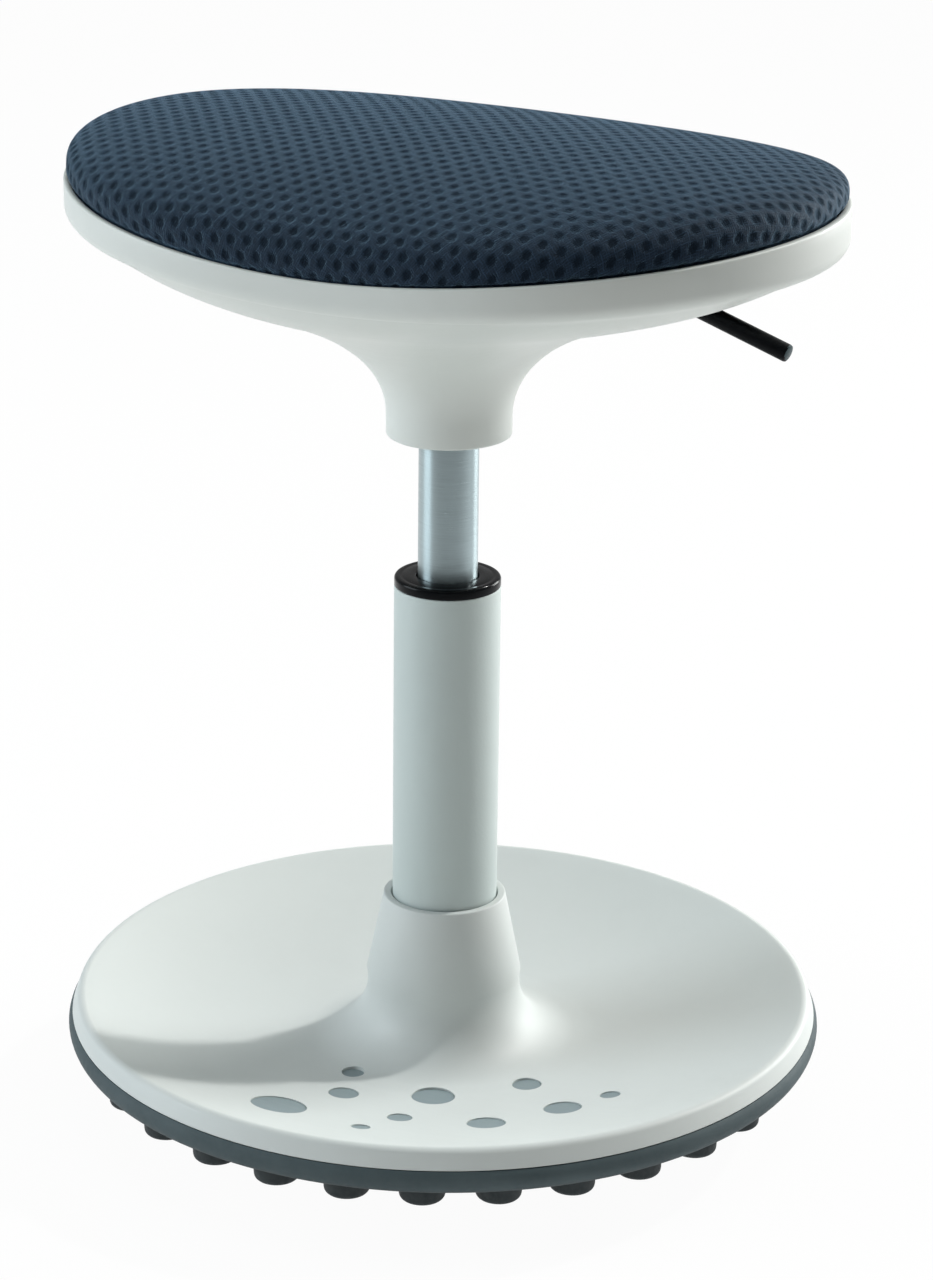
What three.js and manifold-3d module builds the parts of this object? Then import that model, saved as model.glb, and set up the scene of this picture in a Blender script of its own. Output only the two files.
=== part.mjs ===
// A height-adjustable wobble stool: a domed rubber-studded base, a column with a gas spring in it,
// and a saddle-shaped upholstered seat with a release lever under it.
// Millimetres, +Z up. The origin is the centre of the base on the floor, under the column.
// +X points along the release lever, -Y is the low long edge of the seat.

import * as THREE from 'three';
import { mergeVertices } from 'three/addons/utils/BufferGeometryUtils.js';
import Module from 'manifold-3d';

// Heights above the floor
const coverLipHeight = 103;
const columnBottomHeight = 20;
const columnTopHeight = 258.3;
const tubeBottomHeight = 108;
const seatRimHeight = 442.5;

// Clearances and the overrun of every cut
const restGap = 0.3;
const slideGap = 0.3;
const overrun = 5;

// Rubber tread with its domed underside
const treadRadius = 181.5;
const treadShoulderDraw = 2.3;
const treadEdgeDraw = 3.5;
const treadSideHeight = 11.1;
const treadBulgeDrop = 4;
const treadDomeRadius = 545;
const treadThickness = 4;
const treadLipWidth = 3.6;

// Studs under the tread
const studHeight = 5;
const studTipRadius = 10.3;
const studRootRadius = 10.8;
const studEdgeMargin = 18.5;
const studRingPitch = 41;
const studFlatZoneRadius = 45;
const studPhaseDegrees = -1.7;
const studOuterCount = 30;
const studInnerCounts = [12, 8, 5];

// White base cover: lip round the column, cone, dish and rolled rim
const coverWall = 3.1;
const coverLipRadius = 29.4;
const coverLipEdge = 1;
const coverBoreClearance = 0.6;
const coverConeDegrees = 11.1;
const coverFilletRadius = 28;
const coverFilletHeight = 58.1;
const coverFilletEndDegrees = 274.9;
const coverDishHeight = 28;
const coverDishPowerShare = 2.65;
const coverRimDraw = 2.3;
const coverCrestDraw = 2.5;
const coverRimHeight = 9;
const coverRimEdgeRadius = 5.5;

// Round inlays that show through the cover
const inlayThickness = 1.6;
const inlayRecess = 0.5;
const inlayClearance = 0.25;
const inlayInnerShare = 0.3056;
const inlayOuterShare = 0.8263;
const inlayStartDegrees = -111;
const inlaySweepDegrees = 104;
const dotLargestDiameter = 26;
const dotPlaces = [
  { radiusShare: 0.719, degrees: -95, sizeShare: 1 },
  { radiusShare: 0.499, degrees: -90.3, sizeShare: 0.556 },
  { radiusShare: 0.367, degrees: -99.6, sizeShare: 0.42 },
  { radiusShare: 0.74, degrees: -75.1, sizeShare: 0.35 },
  { radiusShare: 0.607, degrees: -69.2, sizeShare: 0.46 },
  { radiusShare: 0.424, degrees: -62, sizeShare: 0.79 },
  { radiusShare: 0.651, degrees: -48.6, sizeShare: 0.7 },
  { radiusShare: 0.411, degrees: -25.5, sizeShare: 0.54 },
  { radiusShare: 0.624, degrees: -28.4, sizeShare: 0.69 },
  { radiusShare: 0.643, degrees: -15.3, sizeShare: 0.377 },
];

// Inner base frame with the column socket, and the steel ballast ring on it
const frameThickness = 4;
const frameSideGap = 1;
const frameFlangeWidth = 4;
const socketTopHeight = 88;
const socketTopWall = 3;
const socketFootRadius = 33;
const frameRibCount = 6;
const frameRibThickness = 3;
const frameRibReach = 84;
const frameRibTopDrop = 1;
const ballastBossGap = 4.9;
const ballastOuterShare = 0.8;
const ballastCoverGap = 0.7;

// Screws that hold the cover down on the frame
const coverScrewCount = 6;
const coverScrewMargin = 84.6;
const coverScrewStartDegrees = 15;
const coverScrewSeatRise = 0.2;
const frameBossRadius = 7.5;
const frameBossFloor = 3;
const coverBossRadius = 5.5;

// One screw size for the whole stool
const screwHeadRadius = 4.5;
const screwHeadHeight = 3;
const screwShaftRadius = 2;
const screwHoleRadius = 2.3;
const screwPocketRadius = 5.1;
const coverScrewLength = 9.8;

// Column tube and guide bush
const columnRadius = 25;
const columnWall = 1.5;
const columnTaperRise = 0.7;
const columnFloorThickness = 2.5;
const bushLength = 75;
const bushHeadHeight = 4.8;
const bushHeadEdge = 1.3;
const bushRecessRadius = 16.2;
const bushRecessDepth = 1.6;

// Gas spring: pressure tube, rod, piston, seal, guide and valve
const tubeRadius = 14;
const tubeWall = 1.5;
const tubeTaper = 0.8;
const tubeTaperLength = 43.5;
const tubeTopRise = 0.5;
const tubeCrimp = 1.5;
const tubeTopHoleRadius = 4.2;
const rodRadius = 5;
const rodPinRadius = 4;
const rodPinBottomHeight = 14.5;
const pistonHeight = 196;
const pistonLength = 10;
const pistonSpigotRadius = 3.5;
const guideLength = 12;
const sealLength = 6;
const valveBodyLength = 14;
const valveButtonRadius = 2.5;
const valveButtonLength = 17.2;

// Thrust bearing, bump stop and clip at the foot of the rod
const washerThickness = 1.8;
const washerRadius = 12.5;
const ballRadius = 2;
const ballCount = 8;
const ballCircleRadius = 9.2;
const cageThickness = 2;
const cageWidth = 6;
const bumpStopRadius = 9;
const bumpStopLength = 14.4;
const clipThickness = 1.6;
const clipRadius = 7.5;
const clipGrooveDepth = 0.6;
const clipMouthWidth = 5;

// Mechanism plate with its tapered hub, and the rocker and lever on it
const plateLength = 120;
const plateWidth = 90;
const plateThickness = 3;
const plateDepth = 44.5;
const hubRadius = 18;
const hubLength = 48;
const pivotDistance = 28;
const pivotRise = 2.8;
const pivotPinRadius = 2;
const pivotPinLength = 24;
const earThickness = 2.5;
const earLength = 12;
const earReach = 4.8;
const rockerWidth = 13;
const rockerRise = 2.2;
const rockerHeight = 12;
const rockerInnerReach = 4;
const rockerOuterReach = 48;
const rockerLugLength = 10;
const rockerLugDrop = 1.6;
const leverRadius = 4;
const leverInnerEnd = 12;
const leverBendDistance = 114;
const leverBendLength = 9;
const leverOverhang = 6;
const leverEndDrop = 17.8;

// Seat outline: mean radius, and how far it departs from a circle
const seatRadius = 165;
const ovalShare = 0.12;
const shiftShare = 0.057;
const triangleShare = 0.024;
const roundZoneShare = 0.3;

// Saddle form: rise of the two ends, tilt, and how the shell's band and the pad follow
const saddleRise = 7.6;
const seatTilt = 4.2;
const bandTilt = 4.4;
const bandSaddle = 1.5;
const padTilt = 4.7;
const padSaddle = 3.5;

// Seat shell
const shellWall = 3;
const shellLipWidth = 2.8;
const shellLipEdge = 1.2;
const bandHeight = 12.9;
const bandEdgeRadius = 7.7;
const bowlInnerRadius = 73.2;
const bowlDepth = 54.3;
const bowlInnerPullLength = 44.7;
const bowlOuterPull = new THREE.Vector2(28.5, 20.3);
const neckRadius = 29.1;
const neckEdgeRadius = 1.2;
const neckDepth = 111.2;
const neckStraightLength = 9.3;
const neckPullLength = 28.6;
const leverSlotWidth = 13;
const leverSlotBendMargin = 5;
const leverSlotRimMargin = 5;

// Screws down through the plate into the shell, and from under the shell into the seat board
const plateScrewX = 48;
const plateScrewY = 33;
const plateScrewBite = 8;
const postRadius = 6.6;
const boardScrewRadius = 105;
const boardScrewDegrees = 22;
const boardScrewRun = 22;
const boardScrewBite = 4.5;

// Seat board, foam pad and fabric cover
const boardDepth = 9;
const boardThickness = 6;
const boardMargin = 18;
const coverSkin = 2.6;
const padClearance = 0.5;
const saddleGap = 0.8;
const padHeight = 16.3;
const padCrown = 15.2;
const padSideHeight = 3;
const padLipRise = 0.6;
const padSideDraw = 0.8;
const padHemDraw = 2.8;
const padEdgePowerShare = 7.8;
const padRoundPowerShare = 3.6;

// How finely round things are cut
const roundSides = 32;
const tubeSides = 24;
const innerSides = 16;
const smallSides = 12;
const screwSides = 8;
const studSides = 8;
const innerStudSides = 6;
const ballSides = 8;
const filletSteps = 4;
const dishSteps = 4;
const domeSteps = 5;
const leverSteps = 14;
const leverSides = 6;
const bowlSteps = 4;
const flareSteps = 4;
const crownSteps = 7;

// Heights that follow from the sizes above
const neckBottomHeight = seatRimHeight - neckDepth;
const plateHeight = seatRimHeight - plateDepth;
const plateTopHeight = plateHeight + plateThickness;
const hubBottomHeight = plateHeight - hubLength;
const tubeTopHeight = plateTopHeight + tubeTopRise;
const tubeTaperBottomHeight = tubeTopHeight - tubeTaperLength;
const pivotHeight = plateTopHeight + pivotRise;
const rockerBottomHeight = pivotHeight + rockerRise;
const leverHeight = rockerBottomHeight + rockerHeight / 2;
const valveButtonTopHeight = rockerBottomHeight - restGap;

// Places across that follow from the seat's mean radius
const boardRadius = seatRadius - boardMargin;
const leverEndDistance = seatRadius + leverOverhang;

const finishes = {
  rubber: { color: 0x7f8a8c, roughness: 0.8, metalness: 0 },
  coverWhite: { color: 0xdfe3e1, roughness: 0.5, metalness: 0 },
  inlayGrey: { color: 0x8c9ea0, roughness: 0.6, metalness: 0 },
  frameBlack: { color: 0x24272a, roughness: 0.6, metalness: 0 },
  columnWhite: { color: 0xd5dada, roughness: 0.45, metalness: 0 },
  gloss: { color: 0x0c0e10, roughness: 0.25, metalness: 0 },
  steel: { color: 0xb4babd, roughness: 0.3, metalness: 1 },
  darkSteel: { color: 0x5c6063, roughness: 0.5, metalness: 0.8 },
  lever: { color: 0x131416, roughness: 0.4, metalness: 0.2 },
  shellWhite: { color: 0xe2e5e1, roughness: 0.45, metalness: 0 },
  birch: { color: 0xc49a63, roughness: 0.7, metalness: 0 },
  foam: { color: 0xd8cfae, roughness: 0.9, metalness: 0 },
  mesh: { color: 0x2b3947, roughness: 0.85, metalness: 0 },
};

const wasm = await Module();
wasm.setup();
const stool = new THREE.Group();

// Geometry helpers

function radians(degrees) {
  return THREE.MathUtils.degToRad(degrees);
}

// A geometry with shared corners, no zero triangles and nothing but positions.
function weld(geometry) {
  const bare = geometry.clone();
  bare.deleteAttribute('normal');
  bare.deleteAttribute('uv');
  const merged = mergeVertices(bare);
  const from = merged.index.array;
  const kept = [];
  for (let i = 0; i < from.length; i += 3) {
    const [a, b, c] = [from[i], from[i + 1], from[i + 2]];
    if (a !== b && b !== c && c !== a) kept.push(a, b, c);
  }
  merged.setIndex(kept);
  return merged;
}

function solid(geometry) {
  const welded = weld(geometry);
  const vertProperties = new Float32Array(welded.attributes.position.array);
  const triVerts = new Uint32Array(welded.index.array);
  return new wasm.Manifold(new wasm.Mesh({ numProp: 3, vertProperties, triVerts }));
}

function joined(first, ...others) {
  return others.reduce((whole, other) => whole.add(other), first);
}

function cut(first, ...tools) {
  return tools.reduce((whole, tool) => whole.subtract(tool), first);
}

function geometryOf(manifold) {
  const mesh = manifold.getMesh();
  const geometry = new THREE.BufferGeometry();
  geometry.setAttribute('position', new THREE.Float32BufferAttribute(mesh.vertProperties, 3));
  geometry.setIndex(Array.from(mesh.triVerts));
  return geometry;
}

// Turns a profile of [radius, height] points round the Z axis.
function revolve(profile, sides = roundSides) {
  const points = profile.map(([radius, height]) => new THREE.Vector2(radius, height));
  return new THREE.LatheGeometry(points, sides).rotateX(Math.PI / 2);
}

function revolveRing(profile, sides = roundSides) {
  return revolve([...profile, profile[0]], sides);
}

// A plain ring or washer.
function washer(inner, outer, bottom, top, sides = innerSides) {
  return revolveRing([[inner, bottom], [outer, bottom], [outer, top], [inner, top]], sides);
}

// An upright round rod, or a tapered one.
function rod(radius, bottom, top, sides = screwSides, topRadius = radius) {
  const geometry = new THREE.CylinderGeometry(topRadius, radius, top - bottom, sides);
  return geometry.rotateX(Math.PI / 2).translate(0, 0, (top + bottom) / 2);
}

function block(lowX, highX, lowY, highY, lowZ, highZ) {
  const geometry = new THREE.BoxGeometry(highX - lowX, highY - lowY, highZ - lowZ);
  return geometry.translate((lowX + highX) / 2, (lowY + highY) / 2, (lowZ + highZ) / 2);
}

// Moves a line of [radius, height] points to its left by a distance.
function inset(points, distance) {
  return points.map(([radius, height], i) => {
    const before = points[Math.max(i - 1, 0)];
    const after = points[Math.min(i + 1, points.length - 1)];
    const along = new THREE.Vector2(after[0] - before[0], after[1] - before[1]).normalize();
    if (radius === 0) return [0, height - distance];
    return [radius - along.y * distance, height + along.x * distance];
  });
}

function arcPoints(centreRadius, centreHeight, radius, fromDegrees, toDegrees, steps) {
  return Array.from({ length: steps + 1 }, (_, i) => {
    const angle = radians(fromDegrees + (toDegrees - fromDegrees) * i / steps);
    return [centreRadius + radius * Math.cos(angle), centreHeight + radius * Math.sin(angle)];
  });
}

function curvePoints(curve, steps) {
  return curve.getPoints(steps).map((point) => [point.x, point.y]);
}

function shares(steps) {
  return Array.from({ length: steps + 1 }, (_, i) => i / steps);
}

function place(geometry, radius, degrees) {
  return geometry.translate(radius * Math.cos(radians(degrees)), radius * Math.sin(radians(degrees)), 0);
}

function addPiece(name, geometry, finish) {
  const shown = weld(geometry);
  shown.computeVertexNormals();
  const mesh = new THREE.Mesh(shown, new THREE.MeshStandardMaterial({ ...finish, flatShading: true }));
  mesh.name = name;
  stool.add(mesh);
}

// A screw with its head below and its shaft pointing up.
function screw(headSeatHeight, shaftLength) {
  const headTop = headSeatHeight - restGap;
  const head = solid(rod(screwHeadRadius, headTop - screwHeadHeight, headTop));
  const shaft = solid(rod(screwShaftRadius, headTop - screwHeadHeight / 2, headTop + shaftLength));
  return geometryOf(head.add(shaft));
}

// Base: heights of the dome, the frame that follows it, and the dished cover

const domeCentreHeight = studHeight + treadDomeRadius;
const treadInnerRadius = treadDomeRadius - treadThickness;
const treadEdgeRadius = treadRadius - treadEdgeDraw;
const treadShoulderRadius = treadRadius - treadShoulderDraw;
const treadCavityRadius = treadShoulderRadius - treadLipWidth;
const studOuterCircleRadius = treadRadius - studEdgeMargin;
const frameRadius = treadCavityRadius - frameSideGap;
const coverRimRadius = treadRadius - coverRimDraw;
const coverCrestRadius = coverRimRadius - coverCrestDraw;
const coverScrewCircleRadius = frameRadius - coverScrewMargin;
const inlayInnerRadius = coverCrestRadius * inlayInnerShare;
const inlayOuterRadius = coverCrestRadius * inlayOuterShare;
const coverSeamHeight = sphereHeight(treadEdgeRadius, treadDomeRadius) + treadSideHeight;
const coverCrestHeight = coverSeamHeight + coverRimHeight;
const coverScrewSeatHeight = frameTopHeight(coverScrewCircleRadius) + coverScrewSeatRise;
const frameBossTopHeight = coverScrewSeatHeight + frameBossFloor;
const frameRibTopHeight = frameBossTopHeight - frameRibTopDrop;

function sphereHeight(radius, sphereRadius) {
  return domeCentreHeight - Math.sqrt(sphereRadius ** 2 - radius ** 2);
}

function treadInnerHeight(radius) {
  return sphereHeight(radius, treadInnerRadius);
}

function frameTopHeight(radius) {
  return treadInnerHeight(radius) + restGap + frameThickness;
}

function dishHeight(radius) {
  const rise = coverCrestHeight - coverDishHeight;
  return coverDishHeight + rise * (radius / coverCrestRadius) ** coverDishPowerShare;
}

function makeTread() {
  const outerDome = shares(domeSteps).map((share) => {
    const radius = treadEdgeRadius * share;
    return [radius, sphereHeight(radius, treadDomeRadius)];
  });
  const innerDome = shares(domeSteps).map((share) => {
    const radius = treadCavityRadius * share;
    return [radius, treadInnerHeight(radius)];
  });
  const rimHeight = coverSeamHeight - restGap;
  const side = [
    [treadRadius, coverSeamHeight - treadBulgeDrop],
    [treadShoulderRadius, rimHeight],
    [0, rimHeight],
  ];
  const pan = solid(revolve([...outerDome, ...side]));
  const mouth = [[treadCavityRadius, rimHeight + overrun], [0, rimHeight + overrun]];
  const cavity = solid(revolve([...innerDome, ...mouth]));
  const studs = [];
  const addRing = (circleRadius, count, sides) => {
    const domeAt = sphereHeight(circleRadius, treadDomeRadius);
    const bottom = circleRadius < studFlatZoneRadius ? 0 : domeAt - studHeight;
    for (let i = 0; i < count; i += 1) {
      const degrees = studPhaseDegrees + 360 * i / count;
      const stud = rod(studTipRadius, bottom, domeAt + treadThickness, sides, studRootRadius);
      studs.push(solid(place(stud, circleRadius, degrees)));
    }
  };
  addRing(0, 1, studSides);
  addRing(studOuterCircleRadius, studOuterCount, studSides);
  studInnerCounts.forEach((count, i) => {
    addRing(studOuterCircleRadius - studRingPitch * (i + 1), count, innerStudSides);
  });
  addPiece('base_tread', geometryOf(joined(pan, ...studs).subtract(cavity)), finishes.rubber);
}

function coverScrewDegrees(i) {
  return coverScrewStartDegrees + 360 * i / coverScrewCount;
}

function makeFrame() {
  const flangeInner = frameRadius - frameFlangeWidth;
  const flangeTop = dishHeight(flangeInner) - coverWall - restGap * 2;
  const bottom = shares(domeSteps).map((share) => {
    const radius = frameRadius * share;
    return [radius, treadInnerHeight(radius) + restGap];
  });
  const top = shares(domeSteps).slice(1).map((share) => {
    const radius = flangeInner * share;
    return [radius, frameTopHeight(radius)];
  });
  const socketFloor = frameTopHeight(0);
  const socketMouth = columnRadius + slideGap;
  const socket = [
    [socketFootRadius, frameTopHeight(socketFootRadius)],
    [socketMouth + socketTopWall, socketTopHeight],
    [socketMouth, socketTopHeight],
    [socketMouth - columnTaperRise, columnBottomHeight],
    [socketMouth - columnTaperRise, socketFloor],
    [0, socketFloor],
  ];
  const flange = [[frameRadius, flangeTop], [flangeInner, flangeTop]];
  const plate = solid(revolve([...bottom, ...flange, ...top.reverse(), ...socket]));
  const ribFoot = socketMouth + socketTopWall / 2;
  const ribShape = new THREE.Shape([
    new THREE.Vector2(ribFoot, frameTopHeight(ribFoot) - frameThickness / 2),
    new THREE.Vector2(frameRibReach, frameTopHeight(frameRibReach) - frameThickness / 2),
    new THREE.Vector2(frameRibReach, frameRibTopHeight),
    new THREE.Vector2(ribFoot, frameRibTopHeight),
  ]);
  const additions = [];
  const removals = [];
  for (let i = 0; i < frameRibCount; i += 1) {
    const rib = new THREE.ExtrudeGeometry(ribShape, { depth: frameRibThickness, bevelEnabled: false });
    rib.translate(0, 0, -frameRibThickness / 2).rotateX(Math.PI / 2);
    additions.push(solid(rib.rotateZ(radians(coverScrewDegrees(i + 0.5)))));
  }
  for (let i = 0; i < coverScrewCount; i += 1) {
    const plateMiddle = frameTopHeight(coverScrewCircleRadius) - frameThickness / 2;
    const boss = rod(frameBossRadius, plateMiddle, frameBossTopHeight);
    const pocket = rod(screwPocketRadius, -overrun, coverScrewSeatHeight);
    const hole = rod(screwHoleRadius, 0, frameBossTopHeight + overrun);
    additions.push(solid(place(boss, coverScrewCircleRadius, coverScrewDegrees(i))));
    removals.push(solid(place(pocket, coverScrewCircleRadius, coverScrewDegrees(i))));
    removals.push(solid(place(hole, coverScrewCircleRadius, coverScrewDegrees(i))));
  }
  addPiece('base_frame', geometryOf(cut(joined(plate, ...additions), ...removals)), finishes.frameBlack);
}

function makeBallast() {
  const radii = [
    coverScrewCircleRadius + frameBossRadius + ballastBossGap,
    (frameRadius - frameFlangeWidth) * ballastOuterShare,
  ];
  const bottom = radii.map((radius) => [radius, frameTopHeight(radius) + restGap]);
  const [outerRadius, outerBottom] = bottom[1];
  const inlayUnder = dishUnderHeight(outerRadius) - restGap * 2 - inlayThickness;
  const thickness = inlayUnder - ballastCoverGap - outerBottom;
  const top = bottom.map(([radius, height]) => [radius, height + thickness]);
  addPiece('ballast_ring', revolveRing([...bottom, ...top.reverse()]), finishes.darkSteel);
}

function coneSlope() {
  return Math.tan(radians(coverConeDegrees));
}

// The upper face of the cover, from the lip at the column out to the seam with the tread.
function coverOutline() {
  const slope = coneSlope();
  const tangentDrop = coverFilletRadius * Math.sin(radians(coverConeDegrees));
  const tangentRadius = coverLipRadius + (coverLipHeight - coverFilletHeight - tangentDrop) * slope;
  const filletCentre = tangentRadius + coverFilletRadius * Math.cos(radians(coverConeDegrees));
  const fillet = arcPoints(
    filletCentre, coverFilletHeight, coverFilletRadius,
    180 - coverConeDegrees, coverFilletEndDegrees, filletSteps,
  );
  const crest = coverRimRadius - coverRimEdgeRadius;
  const dishStart = filletCentre + coverFilletRadius * Math.cos(radians(coverFilletEndDegrees));
  const dish = shares(dishSteps).slice(1).map((share) => {
    const radius = dishStart + (crest - coverRimEdgeRadius - dishStart) * share;
    return [radius, dishHeight(radius)];
  });
  const rim = arcPoints(crest, coverCrestHeight - coverRimEdgeRadius, coverRimEdgeRadius, 90, 0, 2);
  return [
    [coverLipRadius - coverLipEdge, coverLipHeight],
    [coverLipRadius, coverLipHeight - coverLipEdge],
    ...fillet,
    ...dish,
    ...rim,
    [coverRimRadius, coverSeamHeight],
  ];
}

// A point of the dished face's underside, for the bosses and the inlay plate.
function dishUnderHeight(radius) {
  return dishHeight(radius) - coverWall;
}

function makeCover() {
  const outer = coverOutline();
  const inner = inset(outer, -coverWall).slice(2, -1);
  const bore = columnRadius + coverBoreClearance;
  const stepHeight = coverLipHeight - coverWall * 2;
  const stepRadius = coverLipRadius + coneSlope() * coverWall * 2 - coverWall;
  const profile = [
    [bore, coverLipHeight],
    [bore, stepHeight],
    [stepRadius, stepHeight],
    ...inner,
    [coverRimRadius - coverWall, coverSeamHeight],
    ...outer.reverse(),
  ];
  const bosses = [];
  const holes = [];
  const hubTop = coverScrewSeatHeight + coverScrewLength + restGap;
  for (let i = 0; i < coverScrewCount; i += 1) {
    const bossTop = dishUnderHeight(coverScrewCircleRadius) + coverWall / 2;
    const boss = rod(coverBossRadius, frameBossTopHeight + restGap, bossTop);
    const hole = rod(screwHoleRadius, 0, hubTop);
    bosses.push(solid(place(boss, coverScrewCircleRadius, coverScrewDegrees(i))));
    holes.push(solid(place(hole, coverScrewCircleRadius, coverScrewDegrees(i))));
  }
  for (const dot of dotPlaces) {
    const hole = rod(dotRadius(dot), 0, coverLipHeight, dotSides(dot));
    holes.push(solid(place(hole, coverCrestRadius * dot.radiusShare, dot.degrees)));
  }
  const shell = cut(joined(solid(revolveRing(profile)), ...bosses), ...holes);
  addPiece('base_cover', geometryOf(shell), finishes.coverWhite);
  for (let i = 0; i < coverScrewCount; i += 1) {
    const geometry = screw(coverScrewSeatHeight, coverScrewLength);
    const placed = place(geometry, coverScrewCircleRadius, coverScrewDegrees(i));
    addPiece(`cover_screw_${i + 1}`, placed, finishes.darkSteel);
  }
}

function dotRadius(dot) {
  return dotLargestDiameter * dot.sizeShare / 2;
}

function dotSides(dot) {
  return dot.sizeShare > 0.6 ? smallSides : screwSides;
}

// One plate under the cover, with a round boss in each hole.
function makeInlay() {
  const span = inlayOuterRadius - inlayInnerRadius;
  const radii = shares(dishSteps).map((share) => inlayInnerRadius + span * share);
  const layer = (lowDrop, highDrop) => {
    const low = radii.map((radius) => [radius, dishHeight(radius) - lowDrop]);
    const high = radii.map((radius) => [radius, dishHeight(radius) - highDrop]);
    return solid(revolveRing([...low, ...high.reverse()]));
  };
  const plateTop = coverWall + restGap * 2;
  const sector = new THREE.Shape();
  sector.absarc(
    0, 0, inlayOuterRadius + overrun,
    radians(inlayStartDegrees), radians(inlayStartDegrees + inlaySweepDegrees), false,
  );
  sector.lineTo(0, 0);
  const wedge = new THREE.ExtrudeGeometry(sector, { depth: coverLipHeight, bevelEnabled: false });
  const plate = layer(plateTop + inlayThickness, plateTop).intersect(solid(wedge));
  const bosses = dotPlaces.map((dot) => {
    const boss = rod(dotRadius(dot) - inlayClearance, 0, coverLipHeight, dotSides(dot));
    return solid(place(boss, coverCrestRadius * dot.radiusShare, dot.degrees));
  });
  const raised = joined(...bosses).intersect(layer(plateTop + inlayThickness, inlayRecess));
  const holes = Array.from({ length: coverScrewCount }, (_, i) => {
    const hole = rod(coverBossRadius + restGap, 0, coverLipHeight);
    return solid(place(hole, coverScrewCircleRadius, coverScrewDegrees(i)));
  });
  addPiece('dot_inlay', geometryOf(cut(plate.add(raised), ...holes)), finishes.inlayGrey);
}

// Column tube with its tapered foot and pierced floor, and the bush in its mouth
function makeColumn() {
  const bore = columnRadius - columnWall;
  const foot = columnRadius - columnTaperRise;
  const floorTop = columnBottomHeight + columnFloorThickness;
  const hole = rodPinRadius + slideGap;
  const tube = [
    [hole, columnBottomHeight],
    [foot, columnBottomHeight],
    [columnRadius, socketTopHeight],
    [columnRadius, columnTopHeight],
    [bore, columnTopHeight],
    [bore, socketTopHeight],
    [foot - columnWall, floorTop],
    [hole, floorTop],
  ];
  addPiece('column_tube', revolveRing(tube, tubeSides), finishes.columnWhite);
  const headTop = columnTopHeight + bushHeadHeight;
  const bushBore = tubeRadius + slideGap;
  const bush = [
    [bushBore, columnTopHeight - bushLength],
    [bore - slideGap, columnTopHeight - bushLength],
    [bore - slideGap, columnTopHeight],
    [columnRadius, columnTopHeight],
    [columnRadius, headTop - bushHeadEdge],
    [columnRadius - bushHeadEdge, headTop],
    [bushRecessRadius, headTop],
    [bushRecessRadius, headTop - bushRecessDepth],
    [bushBore, headTop - bushRecessDepth],
  ];
  addPiece('guide_bush', revolveRing(bush, tubeSides), finishes.gloss);
}

// Thrust bearing on the column's floor: fixed washer, caged balls, turning washer
const lowerWasherBottom = columnBottomHeight + columnFloorThickness + restGap;
const ballHeight = lowerWasherBottom + washerThickness + restGap + ballRadius;
const upperWasherBottom = ballHeight + ballRadius + restGap;
const rodShoulderHeight = upperWasherBottom + washerThickness + restGap;

function makeBearing() {
  const bore = rodPinRadius + slideGap;
  const lowerTop = lowerWasherBottom + washerThickness;
  addPiece('thrust_washer_lower', washer(bore, washerRadius, lowerWasherBottom, lowerTop), finishes.steel);
  const pockets = [];
  for (let i = 0; i < ballCount; i += 1) {
    const degrees = 360 * i / ballCount;
    const pocket = rod(ballRadius + restGap, ballHeight - overrun, ballHeight + overrun);
    pockets.push(solid(place(pocket, ballCircleRadius, degrees)));
    const ball = new THREE.SphereGeometry(ballRadius, ballSides, ballSides / 2).rotateX(Math.PI / 2);
    addPiece(`thrust_ball_${i + 1}`, place(ball.translate(0, 0, ballHeight), ballCircleRadius, degrees), finishes.steel);
  }
  const cage = washer(
    ballCircleRadius - cageWidth / 2, ballCircleRadius + cageWidth / 2,
    ballHeight - cageThickness / 2, ballHeight + cageThickness / 2,
  );
  addPiece('ball_cage', geometryOf(cut(solid(cage), ...pockets)), finishes.frameBlack);
  const upperTop = upperWasherBottom + washerThickness;
  addPiece('thrust_washer_upper', washer(bore, washerRadius, upperWasherBottom, upperTop), finishes.steel);
}

function makeRod() {
  const clipTop = columnBottomHeight - slideGap;
  const clipBottom = clipTop - clipThickness;
  const grooveRadius = rodPinRadius - clipGrooveDepth;
  const pistonTop = pistonHeight + pistonLength;
  const profile = [
    [0, rodPinBottomHeight],
    [rodPinRadius, rodPinBottomHeight],
    [rodPinRadius, clipBottom - restGap],
    [grooveRadius, clipBottom - restGap],
    [grooveRadius, clipTop + restGap / 2],
    [rodPinRadius, clipTop + restGap / 2],
    [rodPinRadius, rodShoulderHeight],
    [rodRadius, rodShoulderHeight],
    [rodRadius, pistonHeight - restGap],
    [pistonSpigotRadius, pistonHeight - restGap],
    [pistonSpigotRadius, pistonTop + restGap],
    [0, pistonTop + restGap],
  ];
  addPiece('piston_rod', revolve(profile, smallSides), finishes.steel);
  const ringInner = grooveRadius + restGap;
  const clipRing = solid(washer(ringInner, clipRadius, clipBottom, clipTop, smallSides));
  const mouth = solid(block(0, clipRadius + overrun, -clipMouthWidth / 2, clipMouthWidth / 2, 0, clipTop + overrun));
  addPiece('rod_clip', geometryOf(clipRing.subtract(mouth)), finishes.darkSteel);
  const pistonRadius = tubeRadius - tubeWall - restGap;
  const piston = washer(pistonSpigotRadius + restGap, pistonRadius, pistonHeight, pistonTop);
  addPiece('piston', piston, finishes.frameBlack);
  const stopTop = rodShoulderHeight + bumpStopLength;
  const stop = washer(rodRadius + restGap, bumpStopRadius, rodShoulderHeight, stopTop, smallSides);
  addPiece('bump_stop', stop, finishes.rubber);
}

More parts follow.
